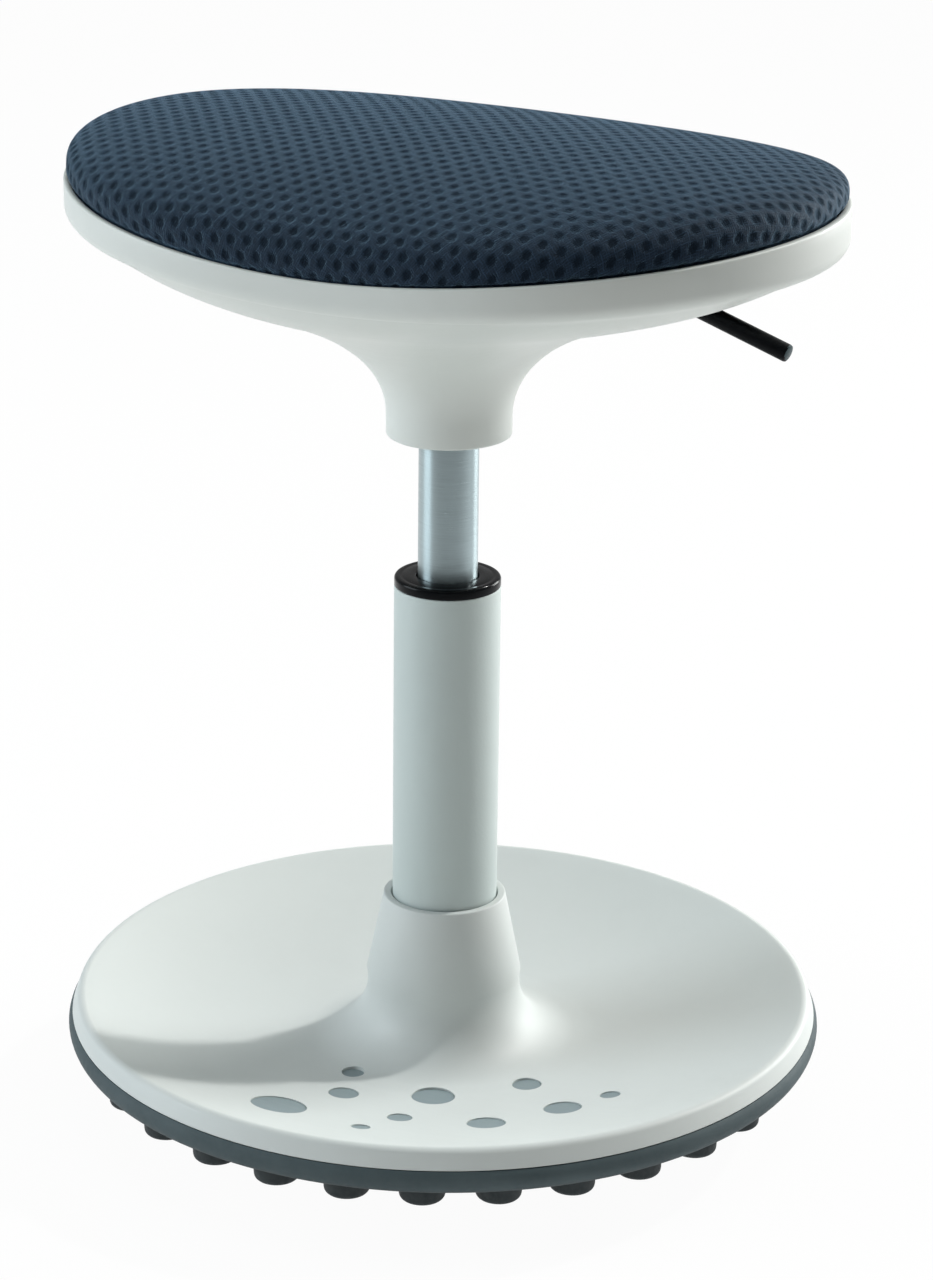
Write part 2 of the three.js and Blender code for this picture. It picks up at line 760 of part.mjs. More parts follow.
// Pressure tube with its tapered top, and what is inside its two ends
function makePressureTube() {
  const bore = tubeRadius - tubeWall;
  const topBore = bore - tubeTaper;
  const crimpHole = rodRadius + slideGap * 4;
  const tube = [
    [crimpHole, tubeBottomHeight],
    [tubeRadius, tubeBottomHeight],
    [tubeRadius, tubeTaperBottomHeight],
    [tubeRadius - tubeTaper, tubeTopHeight],
    [tubeTopHoleRadius, tubeTopHeight],
    [tubeTopHoleRadius, tubeTopHeight - tubeCrimp],
    [topBore, tubeTopHeight - tubeCrimp],
    [bore, tubeTaperBottomHeight],
    [bore, tubeBottomHeight + tubeCrimp],
    [crimpHole, tubeBottomHeight + tubeCrimp],
  ];
  addPiece('pressure_tube', revolveRing(tube, tubeSides), finishes.steel);
  const fitRadius = bore - restGap;
  const guideBottom = tubeBottomHeight + tubeCrimp + restGap;
  const guideTop = guideBottom + guideLength;
  const runningBore = rodRadius + slideGap;
  addPiece('rod_guide', washer(runningBore, fitRadius, guideBottom, guideTop), finishes.steel);
  const sealBottom = guideTop + restGap;
  const seal = washer(runningBore, fitRadius, sealBottom, sealBottom + sealLength);
  addPiece('rod_seal', seal, finishes.frameBlack);
  const bodyTop = tubeTopHeight - tubeCrimp - restGap;
  const bodyBore = valveButtonRadius + slideGap;
  const body = washer(bodyBore, topBore - restGap, bodyTop - valveBodyLength, bodyTop);
  addPiece('valve_body', body, finishes.darkSteel);
  const buttonBottom = valveButtonTopHeight - valveButtonLength;
  const button = rod(valveButtonRadius, buttonBottom, valveButtonTopHeight, smallSides);
  addPiece('valve_button', button, finishes.steel);
}

// Seat: every piece is turned about the axis first, then drawn out to the seat's outline and saddle

function outlineShareAt(angle) {
  const shift = shiftShare * Math.sin(angle);
  return 1 + shift + ovalShare * Math.cos(2 * angle) - triangleShare * Math.sin(3 * angle);
}

// Where a point of the round form lies on the seat. The shell's lower faces follow the band.
function seatPoint(radius, angle, height, followsBand = false) {
  const share = radius / seatRadius;
  const blend = THREE.MathUtils.clamp((share - roundZoneShare) / (1 - roundZoneShare), 0, 1.2);
  const reach = radius * (1 + (outlineShareAt(angle) - 1) * blend);
  const drop = seatRimHeight - height;
  const under = followsBand ? THREE.MathUtils.clamp(drop / bandHeight, 0, 1) : 0;
  const over = THREE.MathUtils.clamp(-drop / padHeight, 0, 1);
  const saddle = saddleRise * Math.cos(2 * angle) + seatTilt * Math.sin(angle);
  const band = bandTilt * Math.sin(angle) + bandSaddle * Math.cos(2 * angle);
  const pad = padSaddle * Math.cos(2 * angle) - padTilt * Math.sin(angle);
  const lift = (saddle - band * under + pad * over) * share ** 2;
  return new THREE.Vector3(reach * Math.cos(angle), reach * Math.sin(angle), height + lift);
}

function seatForm(geometry, followsBand = false) {
  const welded = weld(geometry);
  const position = welded.attributes.position;
  const point = new THREE.Vector3();
  for (let i = 0; i < position.count; i += 1) {
    point.fromBufferAttribute(position, i);
    const angle = Math.atan2(point.y, point.x);
    const placed = seatPoint(Math.hypot(point.x, point.y), angle, point.z, followsBand);
    position.setXYZ(i, placed.x, placed.y, placed.z);
  }
  return welded;
}

function boardScrewAngles() {
  const angle = radians(boardScrewDegrees);
  return [angle, Math.PI - angle, Math.PI + angle, -angle];
}

// Foot of the seat board over a board screw.
function boardScrewPoint(angle) {
  return seatPoint(boardScrewRadius, angle, seatRimHeight - boardDepth - boardThickness);
}

function plateScrewPlaces() {
  return [[1, 1], [-1, 1], [-1, -1], [1, -1]].map(([sideX, sideY]) => {
    return [plateScrewX * sideX, plateScrewY * sideY];
  });
}

// The shell's outer face, from the foot of the neck to the lip round the pad.
function shellOutline() {
  const bowlRim = new THREE.Vector2(
    seatRadius - bandEdgeRadius, seatRimHeight - bandHeight - bandEdgeRadius,
  );
  const bowlFoot = new THREE.Vector2(bowlInnerRadius, seatRimHeight - bowlDepth);
  const neckTop = new THREE.Vector2(neckRadius, neckBottomHeight + neckStraightLength);
  const neckPull = new THREE.Vector2(neckRadius, neckTop.y + neckPullLength);
  const bowlInnerPull = bowlFoot.clone().sub(neckPull).setLength(bowlInnerPullLength);
  const flare = new THREE.QuadraticBezierCurve(neckTop, neckPull, bowlFoot);
  const bowl = new THREE.CubicBezierCurve(
    bowlFoot, bowlFoot.clone().add(bowlInnerPull), bowlRim.clone().sub(bowlOuterPull), bowlRim,
  );
  const bandEdge = arcPoints(
    seatRadius - bandEdgeRadius, seatRimHeight - bandHeight, bandEdgeRadius, -90, 0, 2,
  );
  return [
    [neckRadius - neckEdgeRadius, neckBottomHeight],
    [neckRadius, neckBottomHeight + neckEdgeRadius],
    ...curvePoints(flare, flareSteps),
    ...curvePoints(bowl, bowlSteps).slice(1),
    ...bandEdge.slice(1),
    [seatRadius, seatRimHeight - shellLipEdge],
    [seatRadius - shellLipEdge, seatRimHeight],
  ];
}

function makeShell() {
  const outer = shellOutline();
  const inner = inset(outer, shellWall).slice(1, -2);
  const profile = [
    ...outer,
    [seatRadius - shellLipWidth, seatRimHeight],
    ...inner.reverse(),
    [neckRadius - shellWall, neckBottomHeight],
  ];
  const full = solid(seatForm(revolve([[0, neckBottomHeight], ...outer, [0, seatRimHeight]]), true));
  const additions = [];
  const removals = [];
  const addPost = (x, y, topHeight) => {
    const post = solid(rod(postRadius, neckBottomHeight, topHeight).translate(x, y, 0));
    additions.push(post.intersect(full));
  };
  const addHole = (x, y, radius, bottom, top) => {
    removals.push(solid(rod(radius, bottom, top).translate(x, y, 0)));
  };
  for (const [x, y] of plateScrewPlaces()) {
    const top = plateHeight - restGap;
    addPost(x, y, top);
    addHole(x, y, screwHoleRadius, top - plateScrewBite - restGap, top + overrun);
  }
  for (const angle of boardScrewAngles()) {
    const foot = boardScrewPoint(angle);
    const top = foot.z - restGap * 2;
    addPost(foot.x, foot.y, top);
    addHole(foot.x, foot.y, screwPocketRadius, neckBottomHeight, foot.z - boardScrewRun);
    addHole(foot.x, foot.y, screwHoleRadius, neckBottomHeight, top + overrun);
  }
  const slotTop = seatRimHeight - boardDepth;
  const slot = block(
    leverBendDistance - leverSlotBendMargin, seatRadius - leverSlotRimMargin,
    -leverSlotWidth / 2, leverSlotWidth / 2, neckBottomHeight, slotTop,
  );
  const bowl = solid(seatForm(revolveRing(profile), true));
  const shell = cut(joined(bowl, ...additions), ...removals, solid(slot));
  addPiece('seat_shell', geometryOf(shell), finishes.shellWhite);
}

// A flat layer of the seat board, in rings that the pad's underside shares.
function boardLayer(height) {
  return shares(2).map((share) => [boardRadius * share, height]);
}

function makeBoard() {
  const top = seatRimHeight - boardDepth;
  const over = boardLayer(top).reverse();
  const board = solid(seatForm(revolve([...boardLayer(top - boardThickness), ...over])));
  const holes = boardScrewAngles().map((angle) => {
    const foot = boardScrewPoint(angle);
    const hole = rod(screwHoleRadius, foot.z - overrun, foot.z + boardScrewBite + restGap);
    return solid(hole.translate(foot.x, foot.y, 0));
  });
  addPiece('seat_board', geometryOf(cut(board, ...holes)), finishes.birch);
  boardScrewAngles().forEach((angle, i) => {
    const foot = boardScrewPoint(angle);
    const geometry = screw(foot.z - boardScrewRun, boardScrewRun + boardScrewBite);
    addPiece(`board_screw_${i + 1}`, geometry.translate(foot.x, foot.y, 0), finishes.darkSteel);
  });
}

// Upper face of the pad, from its hem inside the shell's lip, over the lip and up to the crown.
function padOutline() {
  const hemRadius = seatRadius - shellLipWidth - padClearance;
  const radius = seatRadius - shellLipEdge;
  const sideTop = seatRimHeight + padSideHeight;
  const crown = shares(crownSteps).map((share) => {
    const reach = Math.cos(share * Math.PI / 2) ** 0.35;
    const rise = (1 - reach ** padEdgePowerShare) ** (1 / padRoundPowerShare);
    const top = (padHeight - padSideHeight) * rise + padCrown * (1 - reach ** 2);
    return [share === 1 ? 0 : radius * reach, sideTop + top];
  });
  return [
    [hemRadius - padHemDraw, seatRimHeight - boardDepth + saddleGap],
    [hemRadius - padSideDraw, seatRimHeight + padLipRise],
    ...crown,
  ];
}

function makePad() {
  const skin = padOutline();
  const lining = inset(skin, coverSkin);
  lining[0][1] = skin[0][1];
  addPiece('seat_cover', seatForm(revolve([...lining.reverse(), ...skin])), finishes.mesh);
  const foam = inset(skin, coverSkin + restGap * 1.5);
  foam[0][1] = skin[0][1];
  addPiece('foam_pad', seatForm(revolve([...boardLayer(skin[0][1]), ...foam])), finishes.foam);
}

// Mechanism plate: a flat plate, a tapered hub under it and two ears on it
function makePlate() {
  const plate = block(
    -plateLength / 2, plateLength / 2, -plateWidth / 2, plateWidth / 2, plateHeight, plateTopHeight,
  );
  const plateMiddle = plateTopHeight - plateThickness / 2;
  const hub = rod(hubRadius, hubBottomHeight, plateMiddle, tubeSides);
  const mouth = tubeRadius + slideGap;
  const tip = mouth - tubeTaper;
  const bore = [
    [0, hubBottomHeight - overrun],
    [mouth, hubBottomHeight - overrun],
    [mouth, tubeTaperBottomHeight],
    [tip, tubeTopHeight],
    [tip, tubeTopHeight + overrun],
    [0, tubeTopHeight + overrun],
  ];
  const earInner = rockerWidth / 2 + slideGap * 2;
  const ears = [1, -1].map((side) => {
    const low = Math.min(earInner * side, (earInner + earThickness) * side);
    return solid(block(
      pivotDistance - earLength / 2, pivotDistance + earLength / 2,
      low, low + earThickness, plateMiddle, pivotHeight + earReach,
    ));
  });
  const pinHole = crossRod(pivotPinRadius + slideGap, plateWidth);
  const screwHoles = plateScrewPlaces().map(([x, y]) => {
    return solid(rod(screwHoleRadius, hubBottomHeight, plateTopHeight + overrun).translate(x, y, 0));
  });
  const whole = joined(solid(plate), solid(hub), ...ears);
  const finished = cut(whole, solid(revolve(bore, tubeSides)), solid(pinHole), ...screwHoles);
  addPiece('mechanism_plate', geometryOf(finished), finishes.darkSteel);
  plateScrewPlaces().forEach(([x, y], i) => {
    const geometry = screw(-plateTopHeight, plateThickness + plateScrewBite).rotateX(Math.PI);
    addPiece(`plate_screw_${i + 1}`, geometry.translate(x, y, 0), finishes.darkSteel);
  });
  addPiece('pivot_pin', crossRod(pivotPinRadius, pivotPinLength), finishes.steel);
}

// A rod along Y through the lever's pivot.
function crossRod(radius, length) {
  const geometry = new THREE.CylinderGeometry(radius, radius, length, smallSides);
  return geometry.translate(pivotDistance, 0, 0).translate(0, 0, pivotHeight);
}

function leverCurve() {
  const path = new THREE.CurvePath();
  const start = new THREE.Vector3(leverInnerEnd, 0, leverHeight);
  const bend = new THREE.Vector3(leverBendDistance, 0, leverHeight);
  const end = new THREE.Vector3(leverEndDistance, 0, leverHeight - leverEndDrop);
  const before = bend.clone().sub(new THREE.Vector3(leverBendLength, 0, 0));
  const after = bend.clone().add(end.clone().sub(bend).setLength(leverBendLength));
  path.add(new THREE.LineCurve3(start, before));
  path.add(new THREE.QuadraticBezierCurve3(before, bend, after));
  path.add(new THREE.LineCurve3(after, end));
  return path;
}

function makeLever() {
  const halfWidth = rockerWidth / 2;
  const body = block(
    -rockerInnerReach, rockerOuterReach, -halfWidth, halfWidth,
    rockerBottomHeight, rockerBottomHeight + rockerHeight,
  );
  const lug = block(
    pivotDistance - rockerLugLength / 2, pivotDistance + rockerLugLength / 2,
    -halfWidth, halfWidth, pivotHeight - rockerLugDrop, rockerBottomHeight + leverRadius / 4,
  );
  const socket = new THREE.CylinderGeometry(
    leverRadius + restGap, leverRadius + restGap, rockerOuterReach, leverSides * 2,
  );
  socket.rotateZ(Math.PI / 2).translate(leverInnerEnd - restGap + rockerOuterReach / 2, 0, leverHeight);
  const pinHole = crossRod(pivotPinRadius + slideGap, plateWidth);
  const rocker = cut(solid(body).add(solid(lug)), solid(socket), solid(pinHole));
  addPiece('release_rocker', geometryOf(rocker), finishes.darkSteel);
  const section = new THREE.Shape();
  section.absarc(0, 0, leverRadius, 0, Math.PI * 2, false);
  const lever = new THREE.ExtrudeGeometry(section, {
    steps: leverSteps, curveSegments: leverSides, extrudePath: leverCurve(), bevelEnabled: false,
  });
  addPiece('release_lever', lever, finishes.lever);
}

makeTread();
makeFrame();
makeBallast();
makeCover();
makeInlay();
makeColumn();
makeBearing();
makeRod();
makePressureTube();
makePlate();
makeLever();
makeShell();
makeBoard();
makePad();

export default stool;
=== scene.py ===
"""The wobble stool as it looks: its pieces, their finishes, the floor, the light and the camera."""

import logging
import math
from dataclasses import dataclass
from enum import Enum
from typing import Iterable, Sequence

import bpy
import numpy as np
from mathutils import Matrix, Vector


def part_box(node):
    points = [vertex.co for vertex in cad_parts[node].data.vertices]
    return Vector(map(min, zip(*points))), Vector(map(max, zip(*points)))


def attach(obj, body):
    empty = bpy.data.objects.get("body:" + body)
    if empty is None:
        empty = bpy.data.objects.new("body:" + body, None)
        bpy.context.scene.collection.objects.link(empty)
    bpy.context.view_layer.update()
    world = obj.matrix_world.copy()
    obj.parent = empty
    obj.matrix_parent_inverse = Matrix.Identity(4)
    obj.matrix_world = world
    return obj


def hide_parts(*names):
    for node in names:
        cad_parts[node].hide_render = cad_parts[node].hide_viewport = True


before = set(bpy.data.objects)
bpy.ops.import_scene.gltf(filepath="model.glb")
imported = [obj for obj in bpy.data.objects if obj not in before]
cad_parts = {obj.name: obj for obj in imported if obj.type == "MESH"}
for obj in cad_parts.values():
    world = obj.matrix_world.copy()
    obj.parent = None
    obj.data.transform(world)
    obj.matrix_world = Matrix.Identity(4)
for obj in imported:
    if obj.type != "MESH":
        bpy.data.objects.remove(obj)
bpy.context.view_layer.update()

logging.basicConfig(level=logging.INFO, format="%(message)s")
log = logging.getLogger("wobble_stool")

MM = 0.001
CLOTH_UNIT = 0.01  # the cloth map's unit is 100 mm
Profile = list[tuple[float, float]]
Colour = tuple[float, float, float]


class Body(Enum):
    """The moving groups of the stool."""

    BASE = "base"
    CAGE = "cage"
    ROD = "rod"
    SEAT = "seat"
    LEVER = "lever"
    BUTTON = "button"


class Turning(Enum):
    """How many steps a round piece is turned in."""

    SMALL = 32
    TUBE = 96
    SEAT = 160
    BASE = 180


# Bench work: selecting, turning, cutting and joining


def clear_bench() -> None:
    """Leaves edit mode and deselects everything."""
    if bpy.context.view_layer.objects.active and bpy.context.object.mode != "OBJECT":
        bpy.ops.object.mode_set(mode="OBJECT")
    bpy.ops.object.select_all(action="DESELECT")


def pick(piece: bpy.types.Object) -> None:
    """Makes one piece the only selected and active one.

    Args:
        piece: the object to work on.
    """
    clear_bench()
    piece.select_set(True)
    bpy.context.view_layer.objects.active = piece


def settle(piece: bpy.types.Object) -> None:
    """Puts a piece's place, turn and scale into its mesh.

    Args:
        piece: the object to settle at the origin.
    """
    pick(piece)
    bpy.ops.object.transform_apply(location=True, rotation=True, scale=True)


def turned(
    name: str,
    profile: Profile,
    steps: int,
    degrees: float = 360.0,
    closed: bool = True,
    filled: bool = False,
) -> bpy.types.Object:
    """Draws a profile point by point and spins it round the upright axis.

    Args:
        name: the new object's name.
        profile: points of (radius, height) in millimetres.
        steps: how many steps the spin takes.
        degrees: how far it is spun.
        closed: whether the last point joins the first one.
        filled: whether the profile is a face, so that a part turn has ends.

    Returns:
        The turned object, at the origin, with its faces outwards.
    """
    clear_bench()
    bpy.ops.mesh.primitive_plane_add(size=2 * MM, location=(0, 0, 0))
    piece = bpy.context.object
    piece.name = name
    bpy.ops.object.mode_set(mode="EDIT")
    bpy.ops.mesh.select_mode(type="VERT")
    bpy.ops.mesh.select_all(action="SELECT")
    bpy.ops.mesh.merge(type="CENTER")
    here = Vector((profile[0][0] * MM, 0, profile[0][1] * MM))
    bpy.ops.transform.translate(value=here)
    for radius, height in [*profile[1:], *(profile[:1] if closed else [])]:
        there = Vector((radius * MM, 0, height * MM))
        bpy.ops.mesh.extrude_region_move(TRANSFORM_OT_translate={"value": there - here})
        here = there
    bpy.ops.mesh.select_all(action="SELECT")
    bpy.ops.mesh.remove_doubles(threshold=5e-6)
    if filled:
        bpy.ops.mesh.edge_face_add()
    angle = math.radians(degrees)
    bpy.ops.mesh.spin(steps=steps, dupli=False, angle=angle, center=(0, 0, 0), axis=(0, 0, 1))
    bpy.ops.mesh.select_all(action="SELECT")
    bpy.ops.mesh.remove_doubles(threshold=5e-6)
    bpy.ops.mesh.dissolve_degenerate(threshold=1e-6)
    bpy.ops.mesh.select_all(action="SELECT")
    bpy.ops.mesh.normals_make_consistent(inside=False)
    bpy.ops.object.mode_set(mode="OBJECT")
    return piece


def peg(
    name: str,
    radius: float,
    bottom: float,
    top: float,
    place: tuple[float, float] = (0.0, 0.0),
    sides: int = 32,
) -> bpy.types.Object:
    """Adds an upright round peg.

    Args:
        name: the new object's name.
        radius: its radius in millimetres.
        bottom: the height of its lower end.
        top: the height of its upper end.
        place: where its axis stands.
        sides: how many sides it has.

    Returns:
        The peg, with its place in its mesh.
    """
    clear_bench()
    bpy.ops.mesh.primitive_cylinder_add(
        vertices=sides,
        radius=radius * MM,
        depth=(top - bottom) * MM,
        location=(place[0] * MM, place[1] * MM, (top + bottom) / 2 * MM),
    )
    piece = bpy.context.object
    piece.name = name
    settle(piece)
    return piece


def copied(piece: bpy.types.Object, place: Vector) -> bpy.types.Object:
    """Copies a piece with its own mesh.

    Args:
        piece: the piece to copy.
        place: how far the copy is moved, in millimetres.

    Returns:
        The copy, with its place in its mesh.
    """
    twin = piece.copy()
    twin.data = piece.data.copy()
    bpy.context.scene.collection.objects.link(twin)
    twin.data.transform(Matrix.Translation(place * MM))
    return twin


def joined(pieces: Sequence[bpy.types.Object]) -> bpy.types.Object:
    """Joins pieces into the first one.

    Args:
        pieces: the objects, the one that stays first.

    Returns:
        The joined object.
    """
    clear_bench()
    for piece in pieces:
        piece.select_set(True)
    bpy.context.view_layer.objects.active = pieces[0]
    bpy.ops.object.join()
    return pieces[0]


def modified(piece: bpy.types.Object, kind: str, **settings: object) -> None:
    """Adds a modifier and applies it.

    Args:
        piece: the object to change.
        kind: the modifier's type.
        settings: its settings.
    """
    pick(piece)
    modifier = piece.modifiers.new(kind.lower(), kind)
    for key, value in settings.items():
        setattr(modifier, key, value)
    bpy.ops.object.modifier_apply(modifier=modifier.name)


def combined(piece: bpy.types.Object, tool: bpy.types.Object, operation: str) -> None:
    """Cuts, joins or trims a piece with a tool, and takes the tool away.

    Args:
        piece: the object that stays.
        tool: the object that is used up.
        operation: DIFFERENCE, UNION or INTERSECT.
    """
    modified(piece, "BOOLEAN", object=tool, operation=operation, solver="EXACT")
    bpy.data.objects.remove(tool)


def select_faces(piece: bpy.types.Object, chosen: Iterable[int]) -> None:
    """Selects faces by number and enters edit mode in face mode.

    Args:
        piece: the object to work on.
        chosen: the numbers of the faces.
    """
    pick(piece)
    bpy.ops.object.mode_set(mode="EDIT")
    bpy.ops.mesh.select_mode(type="FACE")
    bpy.ops.mesh.select_all(action="DESELECT")
    bpy.ops.object.mode_set(mode="OBJECT")
    numbers = set(chosen)
    for polygon in piece.data.polygons:
        polygon.select = polygon.index in numbers
    bpy.ops.object.mode_set(mode="EDIT")


def smoothed(piece: bpy.types.Object, degrees: float = 32.0) -> None:
    """Shades a piece smooth, with its sharp edges kept.

    Args:
        piece: the object to shade.
        degrees: the angle past which an edge stays sharp.
    """
    pick(piece)
    bpy.ops.object.shade_smooth_by_angle(angle=math.radians(degrees))


def fitted(
    piece: bpy.types.Object,
    body: Body,
    finish: "Finish",
    replaces: Sequence[str] = (),
) -> None:
    """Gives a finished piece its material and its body.

    Args:
        piece: the finished object.
        body: the group that it moves with.
        finish: its finish.
        replaces: the plain solids that it stands for.
    """
    piece.data.materials.clear()
    piece.data.materials.append(finish.material())
    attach(piece, body.value)
    if replaces:
        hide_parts(*replaces)
    log.info("%s: %d faces, moves with %s", piece.name, len(piece.data.polygons), body.value)


# Curves that profiles are drawn from


def arc(centre: tuple[float, float], radius: float, start: float, end: float, steps: int) -> Profile:
    """Points on an arc.

    Args:
        centre: its centre as (radius, height).
        radius: its own radius.
        start: the angle of the first point, in degrees.
        end: the angle of the last point.
        steps: the number of steps between them.

    Returns:
        The points from start to end.
    """
    angles = [math.radians(start + (end - start) * i / steps) for i in range(steps + 1)]
    return [(centre[0] + radius * math.cos(a), centre[1] + radius * math.sin(a)) for a in angles]


def bezier(knots: Sequence[tuple[float, float]], steps: int) -> Profile:
    """Points on a Bezier curve of any degree.

    Args:
        knots: its control points.
        steps: the number of steps along it.

    Returns:
        The points from the first knot to the last.
    """
    points: Profile = []
    for i in range(steps + 1):
        share = i / steps
        line = list(knots)
        while len(line) > 1:
            line = [
                (a[0] + (b[0] - a[0]) * share, a[1] + (b[1] - a[1]) * share)
                for a, b in zip(line, line[1:])
            ]
        points.append(line[0])
    return points


def inset(points: Profile, distance: float) -> Profile:
    """Moves a line of points to its left.

    Args:
        points: the line.
        distance: how far it is moved.

    Returns:
        The moved points, with those on the axis kept on it.
    """
    moved: Profile = []
    for i, (radius, height) in enumerate(points):
        before = points[max(i - 1, 0)]
        after = points[min(i + 1, len(points) - 1)]
        along = Vector((after[0] - before[0], after[1] - before[1])).normalized()
        if radius == 0:
            moved.append((0.0, height - distance))
        else:
            moved.append((radius - along.y * distance, height + along.x * distance))
    return moved


def polar(radius: float, degrees: float) -> tuple[float, float]:
    """The (x, y) of a point at a radius and an angle.

    Args:
        radius: how far from the axis.
        degrees: the angle from +X.

    Returns:
        The place in the same unit as the radius.
    """
    return radius * math.cos(math.radians(degrees)), radius * math.sin(math.radians(degrees))


# Finishes


def linear(red: int, green: int, blue: int) -> Colour:
    """Turns a display colour into the linear one that a shader takes.

    Args:
        red: 0 to 255.
        green: 0 to 255.
        blue: 0 to 255.

    Returns:
        The colour in linear light.
    """
    shown = (red / 255, green / 255, blue / 255)
    return tuple(c / 12.92 if c <= 0.04045 else ((c + 0.055) / 1.055) ** 2.4 for c in shown)


def dimmed(tone: Colour, share: float) -> Colour:
    """The same colour, darker or lighter by a share."""
    return tuple(c * share for c in tone)


class NodeBoard:
    """Lays out nodes and links them."""

    def __init__(self, tree: bpy.types.NodeTree) -> None:
        """Starts with an empty tree of nodes.

        Args:
            tree: the tree to lay out.
        """
        self.tree = tree
        self.nodes = tree.nodes
        self.nodes.clear()

    def add(self, kind: str, **settings: object) -> bpy.types.Node:
        """Adds a node.

        Args:
            kind: its type.
            settings: its settings.

        Returns:
            The node.
        """
        node = self.nodes.new(kind)
        for key, value in settings.items():
            setattr(node, key, value)
        return node

    def feed(self, source: object, target: bpy.types.NodeSocket) -> None:
        """Links a socket to another, or sets a plain value on it.

        Args:
            source: a socket, a number or a tuple.
            target: the socket that takes it.
        """
        if isinstance(source, bpy.types.NodeSocket):
            self.tree.links.new(source, target)
        else:
            target.default_value = source

    def place(
        self, scale: Sequence[float] = (1, 1, 1), turn: Sequence[float] = (0, 0, 0)
    ) -> bpy.types.NodeSocket:
        """The place on the object, stretched and turned.

        Args:
            scale: the stretch along each axis.
            turn: the turn about each axis, in degrees.

        Returns:
            The socket of the mapped place.
        """
        mapping = self.add("ShaderNodeMapping")
        mapping.inputs["Scale"].default_value = scale
        mapping.inputs["Rotation"].default_value = [math.radians(a) for a in turn]
        self.feed(self.add("ShaderNodeTexCoord").outputs["Object"], mapping.inputs["Vector"])
        return mapping.outputs["Vector"]

    def noise(
        self, place: bpy.types.NodeSocket, scale: float, detail: float = 2.0, rough: float = 0.5
    ) -> bpy.types.NodeSocket:
        """Soft random variation.

        Args:
            place: where it is read.
            scale: how many blotches go in a metre.
            detail: how many finer layers it has.
            rough: how strong those layers are.

        Returns:
            The socket of its value, around one half.
        """
        node = self.add("ShaderNodeTexNoise")
        self.feed(place, node.inputs["Vector"])
        node.inputs["Scale"].default_value = scale
        node.inputs["Detail"].default_value = detail
        node.inputs["Roughness"].default_value = rough
        return node.outputs["Fac"]

    def reach(
        self,
        value: object,
        low: float,
        high: float,
        to_low: float,
        to_high: float,
        kind: str = "LINEAR",
    ) -> bpy.types.NodeSocket:
        """Maps one range of values onto another.

        Args:
            value: the value to map.
            low: the start of its range.
            high: the end of its range.
            to_low: what the start becomes.
            to_high: what the end becomes.
            kind: LINEAR or SMOOTHSTEP.

        Returns:
            The socket of the mapped value.
        """
        node = self.add("ShaderNodeMapRange", interpolation_type=kind)
        keys = ("Value", "From Min", "From Max", "To Min", "To Max")
        for key, given in zip(keys, (value, low, high, to_low, to_high)):
            self.feed(given, node.inputs[key])
        return node.outputs["Result"]

    def sum(self, operation: str, first: object, second: object = 0.0) -> bpy.types.NodeSocket:
        """A sum of two numbers.

        Args:
            operation: the kind of sum.
            first: a socket or a number.
            second: a socket or a number.

        Returns:
            The socket of the result.
        """
        node = self.add("ShaderNodeMath", operation=operation)
        self.feed(first, node.inputs[0])
        self.feed(second, node.inputs[1])
        return node.outputs[0]

    def shift(self, operation: str, *values: object) -> bpy.types.Node:
        """A sum of vectors.

        Args:
            operation: the kind of sum.
            values: sockets or tuples.

        Returns:
            The node.
        """
        node = self.add("ShaderNodeVectorMath", operation=operation)
        for value, target in zip(values, node.inputs):
            self.feed(value, target)
        return node

    def mix(self, share: object, first: object, second: object) -> bpy.types.NodeSocket:
        """A mix of two colours.

        Args:
            share: how much of the second one there is.
            first: a socket or a colour.
            second: a socket or a colour.

        Returns:
            The socket of the mixed colour.
        """
        node = self.add("ShaderNodeMix", data_type="RGBA")
        self.feed(share, node.inputs["Factor"])
        self.tint(first, node.inputs[6])
        self.tint(second, node.inputs[7])
        return node.outputs[2]

    def tint(self, source: object, target: bpy.types.NodeSocket) -> None:
        """Links a colour socket to another, or sets a plain colour on it.

        Args:
            source: a socket or a colour.
            target: the socket that takes it.
        """
        self.feed(source if isinstance(source, bpy.types.NodeSocket) else (*source, 1.0), target)

    def blend(self, share: object, first: object, second: object) -> bpy.types.NodeSocket:
        """A mix of two numbers.

        Args:
            share: how much of the second one there is.
            first: a socket or a number.
            second: a socket or a number.

        Returns:
            The socket of the mixed number.
        """
        node = self.add("ShaderNodeMix", data_type="FLOAT")
        self.feed(share, node.inputs["Factor"])
        self.feed(first, node.inputs[2])
        self.feed(second, node.inputs[3])
        return node.outputs[0]


